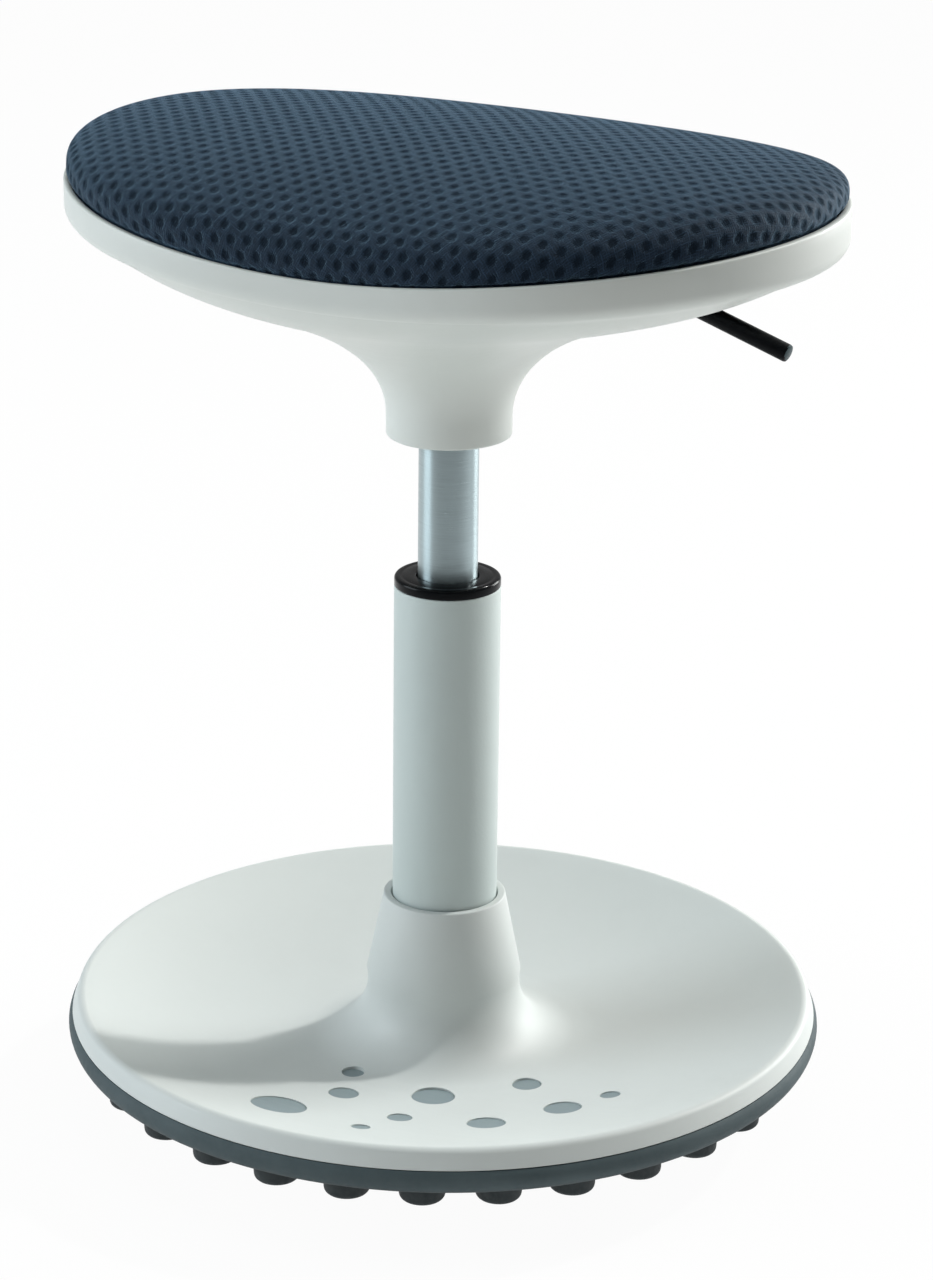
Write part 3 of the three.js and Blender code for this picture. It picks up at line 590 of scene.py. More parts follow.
class Recipe(NodeBoard):
    """Lays out the nodes of one material."""

    def __init__(self, name: str) -> None:
        """Starts a material with one shader in it.

        Args:
            name: the material's name.
        """
        self.made = bpy.data.materials.new(name)
        self.made.use_nodes = True
        super().__init__(self.made.node_tree)
        self.shader = self.add("ShaderNodeBsdfPrincipled")
        self.output = self.add("ShaderNodeOutputMaterial")
        self.feed(self.shader.outputs["BSDF"], self.output.inputs["Surface"])

    def put(self, **values: object) -> None:
        """Sets plain values on the shader.

        Args:
            values: each socket's name, with underscores for its spaces, and its value.
        """
        for key, value in values.items():
            self.shader.inputs[key.replace("_", " ")].default_value = value

    def colour(self, value: object) -> None:
        """Sets the surface's colour from a socket or a colour."""
        self.tint(value, self.shader.inputs["Base Color"])

    def rough(self, value: object) -> None:
        """Sets the surface's roughness from a socket or a number."""
        self.feed(value, self.shader.inputs["Roughness"])

    def relief(self, height: bpy.types.NodeSocket, depth: float, strength: float = 1.0) -> None:
        """Adds fine relief to the surface, over any that it has.

        Args:
            height: the socket of its height, from 0 to 1.
            depth: how deep it is, in metres.
            strength: how much of it shows.
        """
        bump = self.add("ShaderNodeBump")
        bump.inputs["Strength"].default_value = strength
        bump.inputs["Distance"].default_value = depth
        self.feed(height, bump.inputs["Height"])
        normal = self.shader.inputs["Normal"]
        if normal.is_linked:
            self.feed(normal.links[0].from_socket, bump.inputs["Normal"])
        self.feed(bump.outputs["Normal"], normal)


class Finish:
    """A finish that is made once and shared by all the pieces that have it."""

    name: str
    made: dict[str, bpy.types.Material] = {}

    def material(self) -> bpy.types.Material:
        """The finish's material, made on first use."""
        if self.name not in self.made:
            recipe = Recipe(self.name)
            self.mix_in(recipe)
            self.made[self.name] = recipe.made
        return self.made[self.name]

    def mix_in(self, recipe: Recipe) -> None:
        """Fills a recipe.

        Args:
            recipe: the material to fill.
        """
        raise NotImplementedError


@dataclass(frozen=True)
class MouldedPlastic(Finish):
    """Moulded plastic with a fine spark-eroded grain, faint flow marks and a little dust."""

    name: str
    tone: Colour
    roughness: float = 0.5
    grain: float = 0.000035
    shade: float = 0.965

    def mix_in(self, recipe: Recipe) -> None:
        """Fills the recipe with this finish.

        Args:
            recipe: the material to fill.
        """
        place = recipe.place()
        flow = recipe.noise(recipe.place((1, 1, 0.4)), 9, 3, 0.55)
        dust = recipe.noise(place, 70, 4, 0.6)
        flowing = recipe.reach(flow, 0.35, 0.7, 0, 1)
        dusty = recipe.reach(dust, 0.3, 0.75, 0.4, 1)
        share = recipe.sum("MULTIPLY", flowing, dusty)
        recipe.colour(recipe.mix(share, self.tone, dimmed(self.tone, self.shade)))
        scuff = recipe.noise(recipe.place((1, 6, 1), (0, 0, 35)), 60, 5, 0.7)
        recipe.rough(recipe.reach(scuff, 0.35, 0.7, self.roughness - 0.05, self.roughness + 0.07))
        recipe.relief(recipe.noise(place, 2300, 2), self.grain, 0.6)
        recipe.relief(flow, 0.0002, 0.25)


@dataclass(frozen=True)
class PowderCoat(Finish):
    """Powder coat on steel, with its orange-peel surface."""

    name: str
    tone: Colour
    roughness: float = 0.42

    def mix_in(self, recipe: Recipe) -> None:
        """Fills the recipe with this finish.

        Args:
            recipe: the material to fill.
        """
        place = recipe.place()
        cloud = recipe.noise(place, 16, 3)
        share = recipe.reach(cloud, 0.3, 0.7, 0, 1)
        recipe.colour(recipe.mix(share, self.tone, dimmed(self.tone, 0.97)))
        peel = recipe.noise(place, 700, 2, 0.4)
        speck = recipe.noise(place, 3600, 1)
        recipe.rough(recipe.reach(speck, 0.3, 0.7, self.roughness - 0.04, self.roughness + 0.06))
        recipe.relief(peel, 0.00012, 0.35)
        recipe.relief(speck, 0.00002, 0.4)


@dataclass(frozen=True)
class Rubber(Finish):
    """Moulded rubber, matt, with a bloom on it, and darker near the ground as painted shade.

    The painted shade is full below its first height and ends at its second, in metres.
    """

    name: str
    tone: Colour
    bloom: Colour
    ground_shade: tuple[float, float] = (0.0, 0.0001)

    def mix_in(self, recipe: Recipe) -> None:
        """Fills the recipe with this finish.

        Args:
            recipe: the material to fill.
        """
        place = recipe.place()
        cloud = recipe.noise(place, 28, 5, 0.6)
        spots = recipe.noise(place, 420, 3, 0.6)
        cloudy = recipe.reach(cloud, 0.35, 0.75, 0, 0.8)
        spotty = recipe.reach(spots, 0.3, 0.7, 0.5, 1)
        share = recipe.sum("MULTIPLY", cloudy, spotty)
        parts = recipe.add("ShaderNodeSeparateXYZ")
        recipe.feed(place, parts.inputs[0])
        # Painted shade: below the given heights the colour darkens towards 0.12 of the tone, near the
        # ground.
        low = recipe.reach(parts.outputs[2], *self.ground_shade, 0.75, 0, "SMOOTHSTEP")
        unshaded = recipe.mix(share, self.tone, self.bloom)
        recipe.colour(recipe.mix(low, unshaded, dimmed(self.tone, 0.12)))
        recipe.rough(recipe.reach(spots, 0.3, 0.7, 0.62, 0.8))
        recipe.relief(recipe.noise(place, 1500, 3, 0.6), 0.00008, 0.5)


@dataclass(frozen=True)
class GlossPlastic(Finish):
    """Polished black plastic with hair-fine turning marks."""

    name: str
    tone: Colour
    roughness: float = 0.2
    shine: float = 0.12

    def mix_in(self, recipe: Recipe) -> None:
        """Fills the recipe with this finish.

        Args:
            recipe: the material to fill.
        """
        recipe.put(Specular_IOR_Level=self.shine)
        marks = recipe.noise(recipe.place((1, 1, 30)), 160, 4, 0.7)
        share = recipe.reach(marks, 0.4, 0.8, 0, 1)
        recipe.colour(recipe.mix(share, self.tone, tuple(c * 1.6 + 0.001 for c in self.tone)))
        recipe.rough(recipe.reach(marks, 0.3, 0.7, self.roughness - 0.05, self.roughness + 0.1))
        recipe.relief(recipe.noise(recipe.place(), 240, 2), 0.00006, 0.2)


@dataclass(frozen=True)
class Steel(Finish):
    """Ground and plated steel, with fine marks round the axis."""

    name: str
    tone: Colour
    roughness: float = 0.24
    stretch: float = 40.0
    grained: float = 0.6

    def mix_in(self, recipe: Recipe) -> None:
        """Fills the recipe with this finish.

        Args:
            recipe: the material to fill.
        """
        marks = recipe.noise(recipe.place((1, 1, self.stretch)), 60, 5, 0.75)
        cloud = recipe.noise(recipe.place((1, 1, 0.3)), 45, 3)
        recipe.put(Metallic=1.0, Anisotropic=self.grained, Anisotropic_Rotation=0.25)
        tangent = recipe.add("ShaderNodeTangent", direction_type="RADIAL", axis="Z")
        recipe.feed(tangent.outputs["Tangent"], recipe.shader.inputs["Tangent"])
        share = recipe.reach(marks, 0.3, 0.7, 0, 1)
        recipe.colour(recipe.mix(share, self.tone, dimmed(self.tone, 0.84)))
        marked = recipe.reach(marks, 0.3, 0.7, -0.05, 0.07)
        worn = recipe.sum("ADD", marked, recipe.reach(cloud, 0.3, 0.7, -0.03, 0.05))
        recipe.rough(recipe.sum("ADD", worn, self.roughness))
        recipe.relief(marks, 0.00002, 0.35)


@dataclass(frozen=True)
class Plywood(Finish):
    """Birch plywood with its grain along X."""

    name: str
    tone: Colour
    grain: Colour

    def mix_in(self, recipe: Recipe) -> None:
        """Fills the recipe with this finish.

        Args:
            recipe: the material to fill.
        """
        lines = recipe.noise(recipe.place((1, 18, 14)), 12, 6, 0.6)
        recipe.colour(recipe.mix(recipe.reach(lines, 0.35, 0.65, 0, 1), self.tone, self.grain))
        recipe.rough(recipe.reach(lines, 0.3, 0.7, 0.55, 0.75))
        recipe.relief(lines, 0.0002, 0.4)


@dataclass(frozen=True)
class Foam(Finish):
    """Moulded foam with open pores."""

    name: str
    tone: Colour

    def mix_in(self, recipe: Recipe) -> None:
        """Fills the recipe with this finish.

        Args:
            recipe: the material to fill.
        """
        pores = recipe.noise(recipe.place(), 900, 4, 0.7)
        share = recipe.reach(pores, 0.35, 0.6, 1, 0)
        recipe.colour(recipe.mix(share, self.tone, dimmed(self.tone, 0.6)))
        recipe.rough(recipe.reach(pores, 0.3, 0.7, 0.95, 0.8))
        recipe.relief(pores, 0.0005, 0.7)


@dataclass(frozen=True)
class Weave:
    """The rows of holes in the cloth, which its mesh and its finish share.

    Sizes are in millimetres.
    """

    pitch: float = 8.88
    row: float = 6.52
    hole: float = 2.45
    stretch: float = 0.94
    slant: tuple[float, float] = (0.5, 0.866)

    def cell(self) -> Vector:
        """The cell that holds one hole of each of the two grids."""
        return Vector((self.pitch, self.row * 2, 1.0))

    def distance(self, cloth: np.ndarray) -> np.ndarray:
        """How far places on the cloth are from the nearest hole's middle.

        Args:
            cloth: the places, a row each.

        Returns:
            The distances, measured half as a circle and half as a hexagon.
        """
        nearest = np.full(len(cloth), np.inf)
        size = np.array(self.cell()[:2])
        for shift in (0.0, 0.5):
            local = np.abs((cloth + size * (shift + 0.5)) % size - size / 2)
            local = local * (1.0, self.stretch)
            round_way = np.hypot(local[:, 0], local[:, 1])
            six_way = np.maximum(local @ np.array(self.slant), local[:, 0])
            nearest = np.minimum(nearest, (round_way + six_way) / 2)
        return nearest


WEAVE = Weave()


@dataclass(frozen=True)
class SpacerMesh(Finish):
    """Knitted spacer mesh: rows of open holes over a darker lower layer, whose darkness is partly its
    own colour and partly painted shade in the holes, with fine yarns between, whose bright streaks
    are partly painted glints.

    The pitch of the yarns is in millimetres and the ways that they run in degrees.
    """

    name: str
    yarn: Colour
    lower: Colour
    yarn_pitch: float = 1.1
    yarn_turns: tuple[float, float] = (58.0, -32.0)
    sheen: Colour = (0.41, 0.67, 0.92)

    def ring(
        self, recipe: Recipe, place: bpy.types.NodeSocket, shift: float
    ) -> bpy.types.NodeSocket:
        """How far a point is from the nearest hole of one of the two grids.

        Args:
            recipe: the material being filled.
            place: the place on the cloth in millimetres.
            shift: how far the grid is shifted, as a share of its cell.

        Returns:
            The socket of the distance in millimetres, a little squared like the holes.
        """
        cell = WEAVE.cell()
        moved = recipe.shift("ADD", place, tuple(cell * shift)).outputs[0]
        local = recipe.shift("WRAP", moved, tuple(cell / 2), tuple(-cell / 2)).outputs[0]
        flat = recipe.shift("MULTIPLY", local, (1.0, WEAVE.stretch, 0.0)).outputs[0]
        length = recipe.shift("LENGTH", flat).outputs["Value"]
        parts = recipe.add("ShaderNodeSeparateXYZ")
        recipe.feed(recipe.shift("ABSOLUTE", flat).outputs[0], parts.inputs[0])
        across, along = (
            recipe.sum("MULTIPLY", parts.outputs[i], WEAVE.slant[i]) for i in (0, 1)
        )
        slant = recipe.sum("ADD", across, along)
        six = recipe.sum("MAXIMUM", slant, parts.outputs[0])
        return recipe.sum("MULTIPLY", recipe.sum("ADD", length, six), 0.5)

    def threads(
        self, recipe: Recipe, place: bpy.types.NodeSocket, turn: float
    ) -> bpy.types.NodeSocket:
        """Fine threads that run one way across the cloth, some of them standing out as streaks that
        are partly painted glints.

        Args:
            recipe: the material being filled.
            place: the place on the cloth in millimetres.
            turn: the way that the threads run, in degrees.

        Returns:
            The socket of their height, from 0 to 1.
        """
        way = Vector((math.cos(math.radians(turn)), math.sin(math.radians(turn)), 0.0))
        side = Vector((-way.y, way.x, 0.0))
        along = recipe.shift("DOT_PRODUCT", place, tuple(way)).outputs["Value"]
        across = recipe.shift("DOT_PRODUCT", place, tuple(side)).outputs["Value"]
        bend = recipe.reach(recipe.noise(place, 0.3, 2), 0.3, 0.7, -1.5, 1.5)
        waves = recipe.sum("MULTIPLY", across, 2 * math.pi / self.yarn_pitch)
        phase = recipe.sum("ADD", waves, bend)
        streak = recipe.add("ShaderNodeCombineXYZ")
        recipe.feed(recipe.sum("MULTIPLY", along, 0.16), streak.inputs[0])
        recipe.feed(across, streak.inputs[1])
        # Patches along the threads make some of them stand out as streaks, which in the colour are
        # partly painted glints.
        glint_streaks = recipe.reach(recipe.noise(streak.outputs[0], 0.8, 3, 0.7), 0.42, 0.68, 0.12, 1)
        crests = recipe.reach(recipe.sum("SINE", phase), -0.6, 1, 0, 1)
        return recipe.sum("MULTIPLY", crests, glint_streaks)

    def mix_in(self, recipe: Recipe) -> None:
        """Fills the recipe with this finish.

        Args:
            recipe: the material to fill.
        """
        cloth = recipe.add("ShaderNodeUVMap", uv_map="cloth")
        unit = (1 / CLOTH_UNIT, 1 / CLOTH_UNIT, 0.0)
        millimetres = recipe.shift("MULTIPLY", cloth.outputs["UV"], unit).outputs[0]
        rings = [self.ring(recipe, millimetres, shift) for shift in (0.0, 0.5)]
        near = recipe.sum("MINIMUM", *rings)
        fray = recipe.noise(millimetres, 0.9, 3, 0.7)
        edge = recipe.sum("ADD", near, recipe.reach(fray, 0.3, 0.7, -0.5, 0.5))
        rise = recipe.reach(edge, WEAVE.hole - 1.0, WEAVE.hole + 0.5, 0, 1, "SMOOTHSTEP")
        yarns = [self.threads(recipe, millimetres, turn) for turn in self.yarn_turns]
        threads = recipe.sum("MAXIMUM", *yarns)
        fluff = recipe.reach(recipe.noise(millimetres, 1.3, 4, 0.8), 0.35, 0.72, 0, 1)
        cloud = recipe.reach(recipe.noise(millimetres, 0.06, 3), 0.3, 0.7, 0, 1)
        thready = recipe.sum("MULTIPLY", threads, 0.65)
        lines = recipe.sum("ADD", thready, recipe.sum("MULTIPLY", fluff, 0.45))
        # The yarn runs from dark between the threads to bright on them: the threads are a real
        # pattern, and their bright streaks are partly painted glints.
        yarn_and_glints = recipe.mix(lines, dimmed(self.yarn, 0.4), dimmed(self.yarn, 2.6))
        # Inside the holes the colour runs to the darker lower layer: partly that layer's own colour,
        # partly painted shade in the holes.
        deep = recipe.mix(lines, self.lower, self.yarn)
        hollow = recipe.sum("ADD", rise, recipe.sum("MULTIPLY", cloud, 0.2))
        recipe.colour(recipe.mix(hollow, deep, yarn_and_glints))
        recipe.rough(recipe.reach(rise, 0, 1, 0.95, 0.62))
        recipe.put(Sheen_Weight=0.7, Sheen_Roughness=0.3, Sheen_Tint=(*self.sheen, 1.0))
        recipe.put(Specular_IOR_Level=0.12)
        recipe.relief(rise, 0.0005, 0.6)
        recipe.relief(lines, 0.00035, 0.9)


COVER_WHITE = MouldedPlastic("cover_white", linear(224, 229, 227), 0.5)
SHELL_WHITE = MouldedPlastic("shell_white", linear(219, 223, 219), 0.42, 0.00003)
DOT_GREY = MouldedPlastic("dot_grey", linear(143, 158, 162), 0.55, 0.00003, 0.92)
NYLON_BLACK = MouldedPlastic("nylon_black", linear(40, 42, 45), 0.55)
# Below 33.5 mm, fading out by 38 mm, the tread and its studs are darkened as painted shade.
TREAD_RUBBER = Rubber("tread_rubber", linear(68, 82, 86), linear(90, 104, 108), (0.0335, 0.038))
STOP_RUBBER = Rubber("stop_rubber", linear(60, 62, 64), linear(80, 82, 84))
COLUMN_COAT = PowderCoat("column_coat", linear(205, 216, 214))
BUSH_GLOSS = GlossPlastic("bush_gloss", linear(4, 7, 10), 0.15, 0.12)
LEVER_BLACK = GlossPlastic("lever_black", linear(6, 9, 13), 0.34)
LEVER_END = GlossPlastic("lever_end", linear(58, 74, 78), 0.3)
TUBE_STEEL = Steel("tube_steel", (0.46, 0.56, 0.585), 0.31, 40.0, 0.85)
PART_STEEL = Steel("part_steel", (0.55, 0.57, 0.6), 0.3, 10.0, 0.2)
DARK_STEEL = Steel("dark_steel", (0.2, 0.21, 0.22), 0.42, 4.0, 0.0)
BIRCH = Plywood("birch", linear(205, 168, 118), linear(160, 116, 70))
PAD_FOAM = Foam("pad_foam", linear(216, 206, 172))
# The second colour is the lower layer seen in the holes, darkened partly as painted shade.
MESH_CLOTH = SpacerMesh("mesh_cloth", linear(28, 43, 59), linear(11, 19, 28))


# The base


@dataclass
class BaseCover:
    """The white dished cover, with its rolled rim and the cone round the column.

    Sizes are in millimetres.
    """

    wall: float = 3.1
    lip_height: float = 103.0
    lip_radius: float = 29.4
    bore: float = 25.6
    cone: float = 11.1
    fillet: float = 28.0
    fillet_height: float = 58.1
    fillet_end: float = 274.9
    dish_height: float = 28.0
    crest_height: float = 56.75
    crest_radius: float = 176.7
    power: float = 2.85
    rim_radius: float = 179.2
    rim_round: float = 3.3
    rim_reach: float = 5.44
    rim_slope: float = 20.0
    seam_height: float = 46.0
    dot_places: tuple[tuple[float, float, float], ...] = (
        (0.719, -95.0, 1.0),
        (0.499, -90.3, 0.556),
        (0.367, -99.6, 0.42),
        (0.74, -75.1, 0.35),
        (0.607, -69.2, 0.46),
        (0.424, -62.0, 0.79),
        (0.651, -48.6, 0.7),
        (0.411, -25.5, 0.54),
        (0.624, -28.4, 0.69),
        (0.643, -15.3, 0.377),
    )
    largest_dot: float = 26.0
    recess: float = 0.5
    dot_gap: float = 0.18
    dot_depth: float = 5.2
    dot_reach: tuple[float, float] = (10.0, 60.0)
    plate_start: float = 54.0
    plate_width: float = 92.0
    plate_gap: float = 0.7
    plate_wall: float = 1.4
    plate_sweep: float = 104.0
    plate_turn: float = -7.0
    crest_tilt: float = 22.0
    ledge: float = 7.2

    def dish(self, radius: float) -> float:
        """The height of the dish at a radius."""
        depth = self.crest_height - self.dish_height
        return self.dish_height + depth * (radius / self.crest_radius) ** self.power

    def outline(self) -> Profile:
        """The cover's upper face, from the bore out to the seam.

        Returns:
            The points of (radius, height).
        """
        slope = math.radians(self.cone)
        tangent_height = self.fillet_height + self.fillet * math.sin(slope)
        tangent_radius = self.lip_radius + (self.lip_height - tangent_height) * math.tan(slope)
        centre = tangent_radius + self.fillet * math.cos(slope)
        fillet = arc((centre, self.fillet_height), self.fillet, 180 - self.cone, self.fillet_end, 18)
        start = fillet[-1][0]
        tilt = math.radians(self.crest_tilt)
        middle = self.rim_radius - self.rim_reach
        edge = middle - self.rim_round * math.sin(tilt)
        radii = [start + (edge - start) * i / 28 for i in range(1, 29)]
        dish = [(r, self.dish(r)) for r in radii]
        rim_height = dish[-1][1] - self.rim_round * math.cos(tilt)
        crest = 90 + self.crest_tilt
        rim = arc((middle, rim_height), self.rim_round, crest, self.rim_slope, 9)
        lip = arc((self.lip_radius - 0.9, self.lip_height - 0.8), 0.8, 90, self.cone, 5)
        mouth = arc((self.bore + 0.5, self.lip_height - 0.5), 0.5, 180, 90, 4)
        seam = arc((self.rim_radius - 0.5, self.seam_height + 0.5), 0.5, 0, -90, 3)
        return [*mouth, *lip, *fillet, *dish[:-1], *rim, *seam]

    def pegs(self, gap: float) -> bpy.types.Object:
        """Round pegs at the dots, through the whole depth of the dish.

        Args:
            gap: how much smaller than the holes they are, in radius.

        Returns:
            The pegs as one object.
        """
        bottom, top = self.dot_reach
        pegs = []
        for share, turn, size in self.dot_places:
            place = polar(self.crest_radius * share, turn)
            pegs.append(peg("dot_peg", self.largest_dot * size / 2 - gap, bottom, top, place, 64))
        return joined(pegs)

    def build(self) -> None:
        """Builds the cover and the inlays."""
        outer = self.outline()
        under = inset(outer, -self.wall)[11:-4]
        step = self.lip_height - 2 * self.wall
        profile = [
            (self.bore, step),
            *outer,
            (self.rim_radius - self.wall, self.seam_height),
            *reversed(under),
            (under[0][0] - self.ledge, step),
        ]
        cover = turned("cover_dish", profile, Turning.BASE.value)
        combined(cover, self.pegs(0.0), "DIFFERENCE")
        smoothed(cover, 30)
        fitted(cover, Body.BASE, COVER_WHITE, ["base_cover"])
        radii = [self.plate_start + self.plate_width * i / 30 for i in range(31)]
        top = [(r, self.dish(r) - self.recess) for r in radii]
        slab = [*[(r, h - self.dot_depth) for r, h in top], *reversed(top)]
        face = turned("dot_faces", slab, Turning.BASE.value)
        combined(face, self.pegs(self.dot_gap), "INTERSECT")
        top = [(r, self.dish(r) - self.wall - self.plate_gap) for r in radii]
        slab = [*[(r, h - self.plate_wall) for r, h in top], *reversed(top)]
        plate = turned("dot_plate", slab, 60, self.plate_sweep, filled=True)
        plate.data.transform(Matrix.Rotation(math.radians(self.plate_turn), 4, "Z"))
        inlay = joined([face, plate])
        inlay.name = "dot_inlays"
        smoothed(inlay, 30)
        fitted(inlay, Body.BASE, DOT_GREY, ["dot_inlay"])


@dataclass
class Tread:
    """The rubber tread with its domed underside and the rings of studs.

    Sizes are in millimetres.
    """

    dome: float = 545.0
    wall: float = 4.0
    stud_height: float = 5.0
    edge_radius: float = 178.0
    top_height: float = 45.7
    stud_tip: float = 10.3
    stud_root: float = 10.8
    tip_round: float = 2.4
    inner_edge: float = 175.6
    side: tuple[tuple[float, float], ...] = ((180.9, 36.4), (182.6, 42.6))
    shoulder: float = 179.2
    flat_reach: float = 45.0
    phase: float = -1.7
    rings: tuple[tuple[float, int], ...] = (
        (0.0, 1),
        (40.0, 5),
        (81.0, 8),
        (122.0, 12),
        (163.0, 30),
    )

    def height(self, radius: float, dome: float) -> float:
        """The height of a dome at a radius."""
        return self.stud_height + self.dome - math.sqrt(dome**2 - radius**2)

    def dome_line(self, edge: float, dome: float, steps: int) -> Profile:
        """Points on a dome from the axis to its edge.

        Args:
            edge: the radius of the edge.
            dome: the dome's own radius.
            steps: the number of steps between them.

        Returns:
            The points from the axis outwards.
        """
        radii = [edge * i / steps for i in range(steps + 1)]
        return [(radius, self.height(radius, dome)) for radius in radii]

    def stud(self) -> bpy.types.Object:
        """Models one stud, tapered to its tip, with a rounded lower edge.

        Returns:
            The stud, on the axis.
        """
        stud = peg("stud", self.stud_root, 0, self.stud_height + self.wall, sides=40)
        lowest = min(stud.data.polygons, key=lambda face: face.center.z)
        select_faces(stud, [lowest.index])
        share = self.stud_tip / self.stud_root
        bpy.ops.transform.resize(value=(share, share, 1))
        bpy.ops.mesh.bevel(offset=self.tip_round * MM, segments=5, affect="EDGES")
        bpy.ops.object.mode_set(mode="OBJECT")
        return stud

    def build(self) -> None:
        """Builds the tread."""
        outer = self.dome_line(self.edge_radius, self.dome, 40)
        inner = self.dome_line(self.inner_edge, self.dome - self.wall, 16)
        side = bezier([outer[-1], *self.side, (self.shoulder, self.top_height)], 10)
        profile = [*outer, *side[1:], (self.inner_edge, self.top_height), *reversed(inner)]
        tread = turned("tread_pan", profile, Turning.BASE.value, closed=False)
        stud = self.stud()
        studs = []
        for radius, count in self.rings:
            rise = self.height(radius, self.dome) - self.stud_height
            bottom = 0.0 if radius < self.flat_reach else rise
            for i in range(count):
                x, y = polar(radius, self.phase + 360 * i / count)
                studs.append(copied(stud, Vector((x, y, bottom))))
        bpy.data.objects.remove(stud)
        tread = joined([tread, *studs])
        smoothed(tread, 34)
        fitted(tread, Body.BASE, TREAD_RUBBER, ["base_tread"])


@dataclass
class Column:
    """The column tube and the bush in its mouth. Sizes are in millimetres."""

    radius: float = 25.0
    wall: float = 1.5
    bottom: float = 20.0
    top: float = 258.3
    foot_height: float = 88.0
    taper: float = 0.7
    hole: float = 4.3
    floor: float = 2.5
    bush_length: float = 75.0
    head: float = 4.8
    tube: float = 14.3
    bush_gap: float = 0.3
    bush_corner: float = 1.7
    groove: tuple[tuple[float, float], ...] = ((22.4, 0.06), (21.7, 0.22), (21.2, 0.22), (20.6, 0.0))

    def build(self) -> None:
        """Builds the tube and the bush."""
        foot = self.radius - self.taper
        bore = self.radius - self.wall
        rim = arc((self.radius - 0.5, self.top - 0.5), 0.5, 0, 90, 3)
        tube = [
            (self.hole, self.bottom),
            (foot, self.bottom),
            (self.radius, self.foot_height),
            *rim,
            (bore, self.top),
            (bore, self.foot_height),
            (foot - self.wall, self.bottom + self.floor),
            (self.hole, self.bottom + self.floor),
        ]
        column = turned("column_sleeve", tube, Turning.TUBE.value)
        smoothed(column)
        fitted(column, Body.BASE, COLUMN_COAT, ["column_tube"])
        head_top = self.top + self.head
        corner = self.bush_corner
        bush_profile = [
            (self.tube, self.top - self.bush_length),
            (bore - self.bush_gap, self.top - self.bush_length),
            (bore - self.bush_gap, self.top + 0.05),
            *arc((self.radius - 0.45, self.top + 0.5), 0.45, -90, 0, 3),
            *arc((self.radius - corner, head_top - corner), corner, 0, 70, 6),
            *((radius, head_top - depth) for radius, depth in self.groove),
            *arc((self.tube + 1.1, head_top - 0.7), 0.7, 90, 180, 5),
            (self.tube, head_top - 1.6),
        ]
        bush = turned("bush_ring", bush_profile, Turning.TUBE.value)
        smoothed(bush, 40)
        fitted(bush, Body.BASE, BUSH_GLOSS, ["guide_bush"])


@dataclass
class GasTube:
    """The bright pressure tube of the gas spring. Sizes are in millimetres."""

    radius: float = 14.0
    wall: float = 1.5
    bottom: float = 108.0
    top: float = 401.5
    taper_bottom: float = 358.0
    taper: float = 0.8
    lower_hole: float = 6.2
    upper_hole: float = 4.2

    def build(self) -> None:
        """Builds the tube."""
        bore = self.radius - self.wall
        profile = [
            (self.lower_hole, self.bottom),
            *arc((self.radius - 1.2, self.bottom + 1.2), 1.2, -90, 0, 5),
            (self.radius, self.taper_bottom),
            *arc((self.radius - self.taper - 1.0, self.top - 1.0), 1.0, 0, 90, 4),
            (self.upper_hole, self.top),
            (self.upper_hole, self.top - self.wall),
            (bore - self.taper, self.top - self.wall),
            (bore, self.taper_bottom),
            (bore, self.bottom + self.wall),
            (self.lower_hole, self.bottom + self.wall),
        ]
        tube = turned("gas_tube", profile, Turning.TUBE.value)
        smoothed(tube)
        fitted(tube, Body.SEAT, TUBE_STEEL, ["pressure_tube"])


# The seat


@dataclass(frozen=True)
class SeatForm:
    """The seat's outline and saddle, which the shell, the pad and its cover share.

    Sizes are in millimetres.
    """

    radius: float = 165.0
    rim: float = 442.5
    oval: float = 0.12
    shift: float = 0.057
    triangle: float = 0.024
    round_zone: float = 0.3
    saddle: float = 7.6
    tilt: float = 4.2
    band_height: float = 12.9
    band_tilt: float = 4.4
    band_saddle: float = 1.5
    pad_height: float = 16.3
    pad_tilt: float = 4.7
    pad_saddle: float = 3.5

    def place(self, radius: float, angle: float, height: float, band: bool = False) -> Vector:
        """Where a point of the round form lies on the seat.

        Args:
            radius: its distance from the axis.
            angle: its angle from +X, in radians.
            height: its height.
            band: whether it follows the shell's band.

        Returns:
            The place in millimetres.
        """
        share = radius / self.radius
        blend = min(max((share - self.round_zone) / (1 - self.round_zone), 0), 1.2)
        sway, fold = math.sin(angle), math.cos(2 * angle)
        outline = 1 + self.shift * sway + self.oval * fold - self.triangle * math.sin(3 * angle)
        reach = radius * (1 + (outline - 1) * blend)
        drop = self.rim - height
        under = min(max(drop / self.band_height, 0), 1) if band else 0.0
        over = min(max(-drop / self.pad_height, 0), 1)
        rise = self.saddle * fold + self.tilt * sway
        rise -= (self.band_tilt * sway + self.band_saddle * fold) * under
        rise += (self.pad_saddle * fold - self.pad_tilt * sway) * over
        return Vector((reach * math.cos(angle), reach * math.sin(angle), height + rise * share**2))

    def shape(self, piece: bpy.types.Object, band: bool = False) -> None:
        """Draws a turned piece out to the seat's form.

        Args:
            piece: the turned object.
            band: whether it follows the shell's band.
        """
        for vertex in piece.data.vertices:
            x, y, z = vertex.co / MM
            vertex.co = self.place(math.hypot(x, y), math.atan2(y, x), z, band) * MM
        piece.data.update()


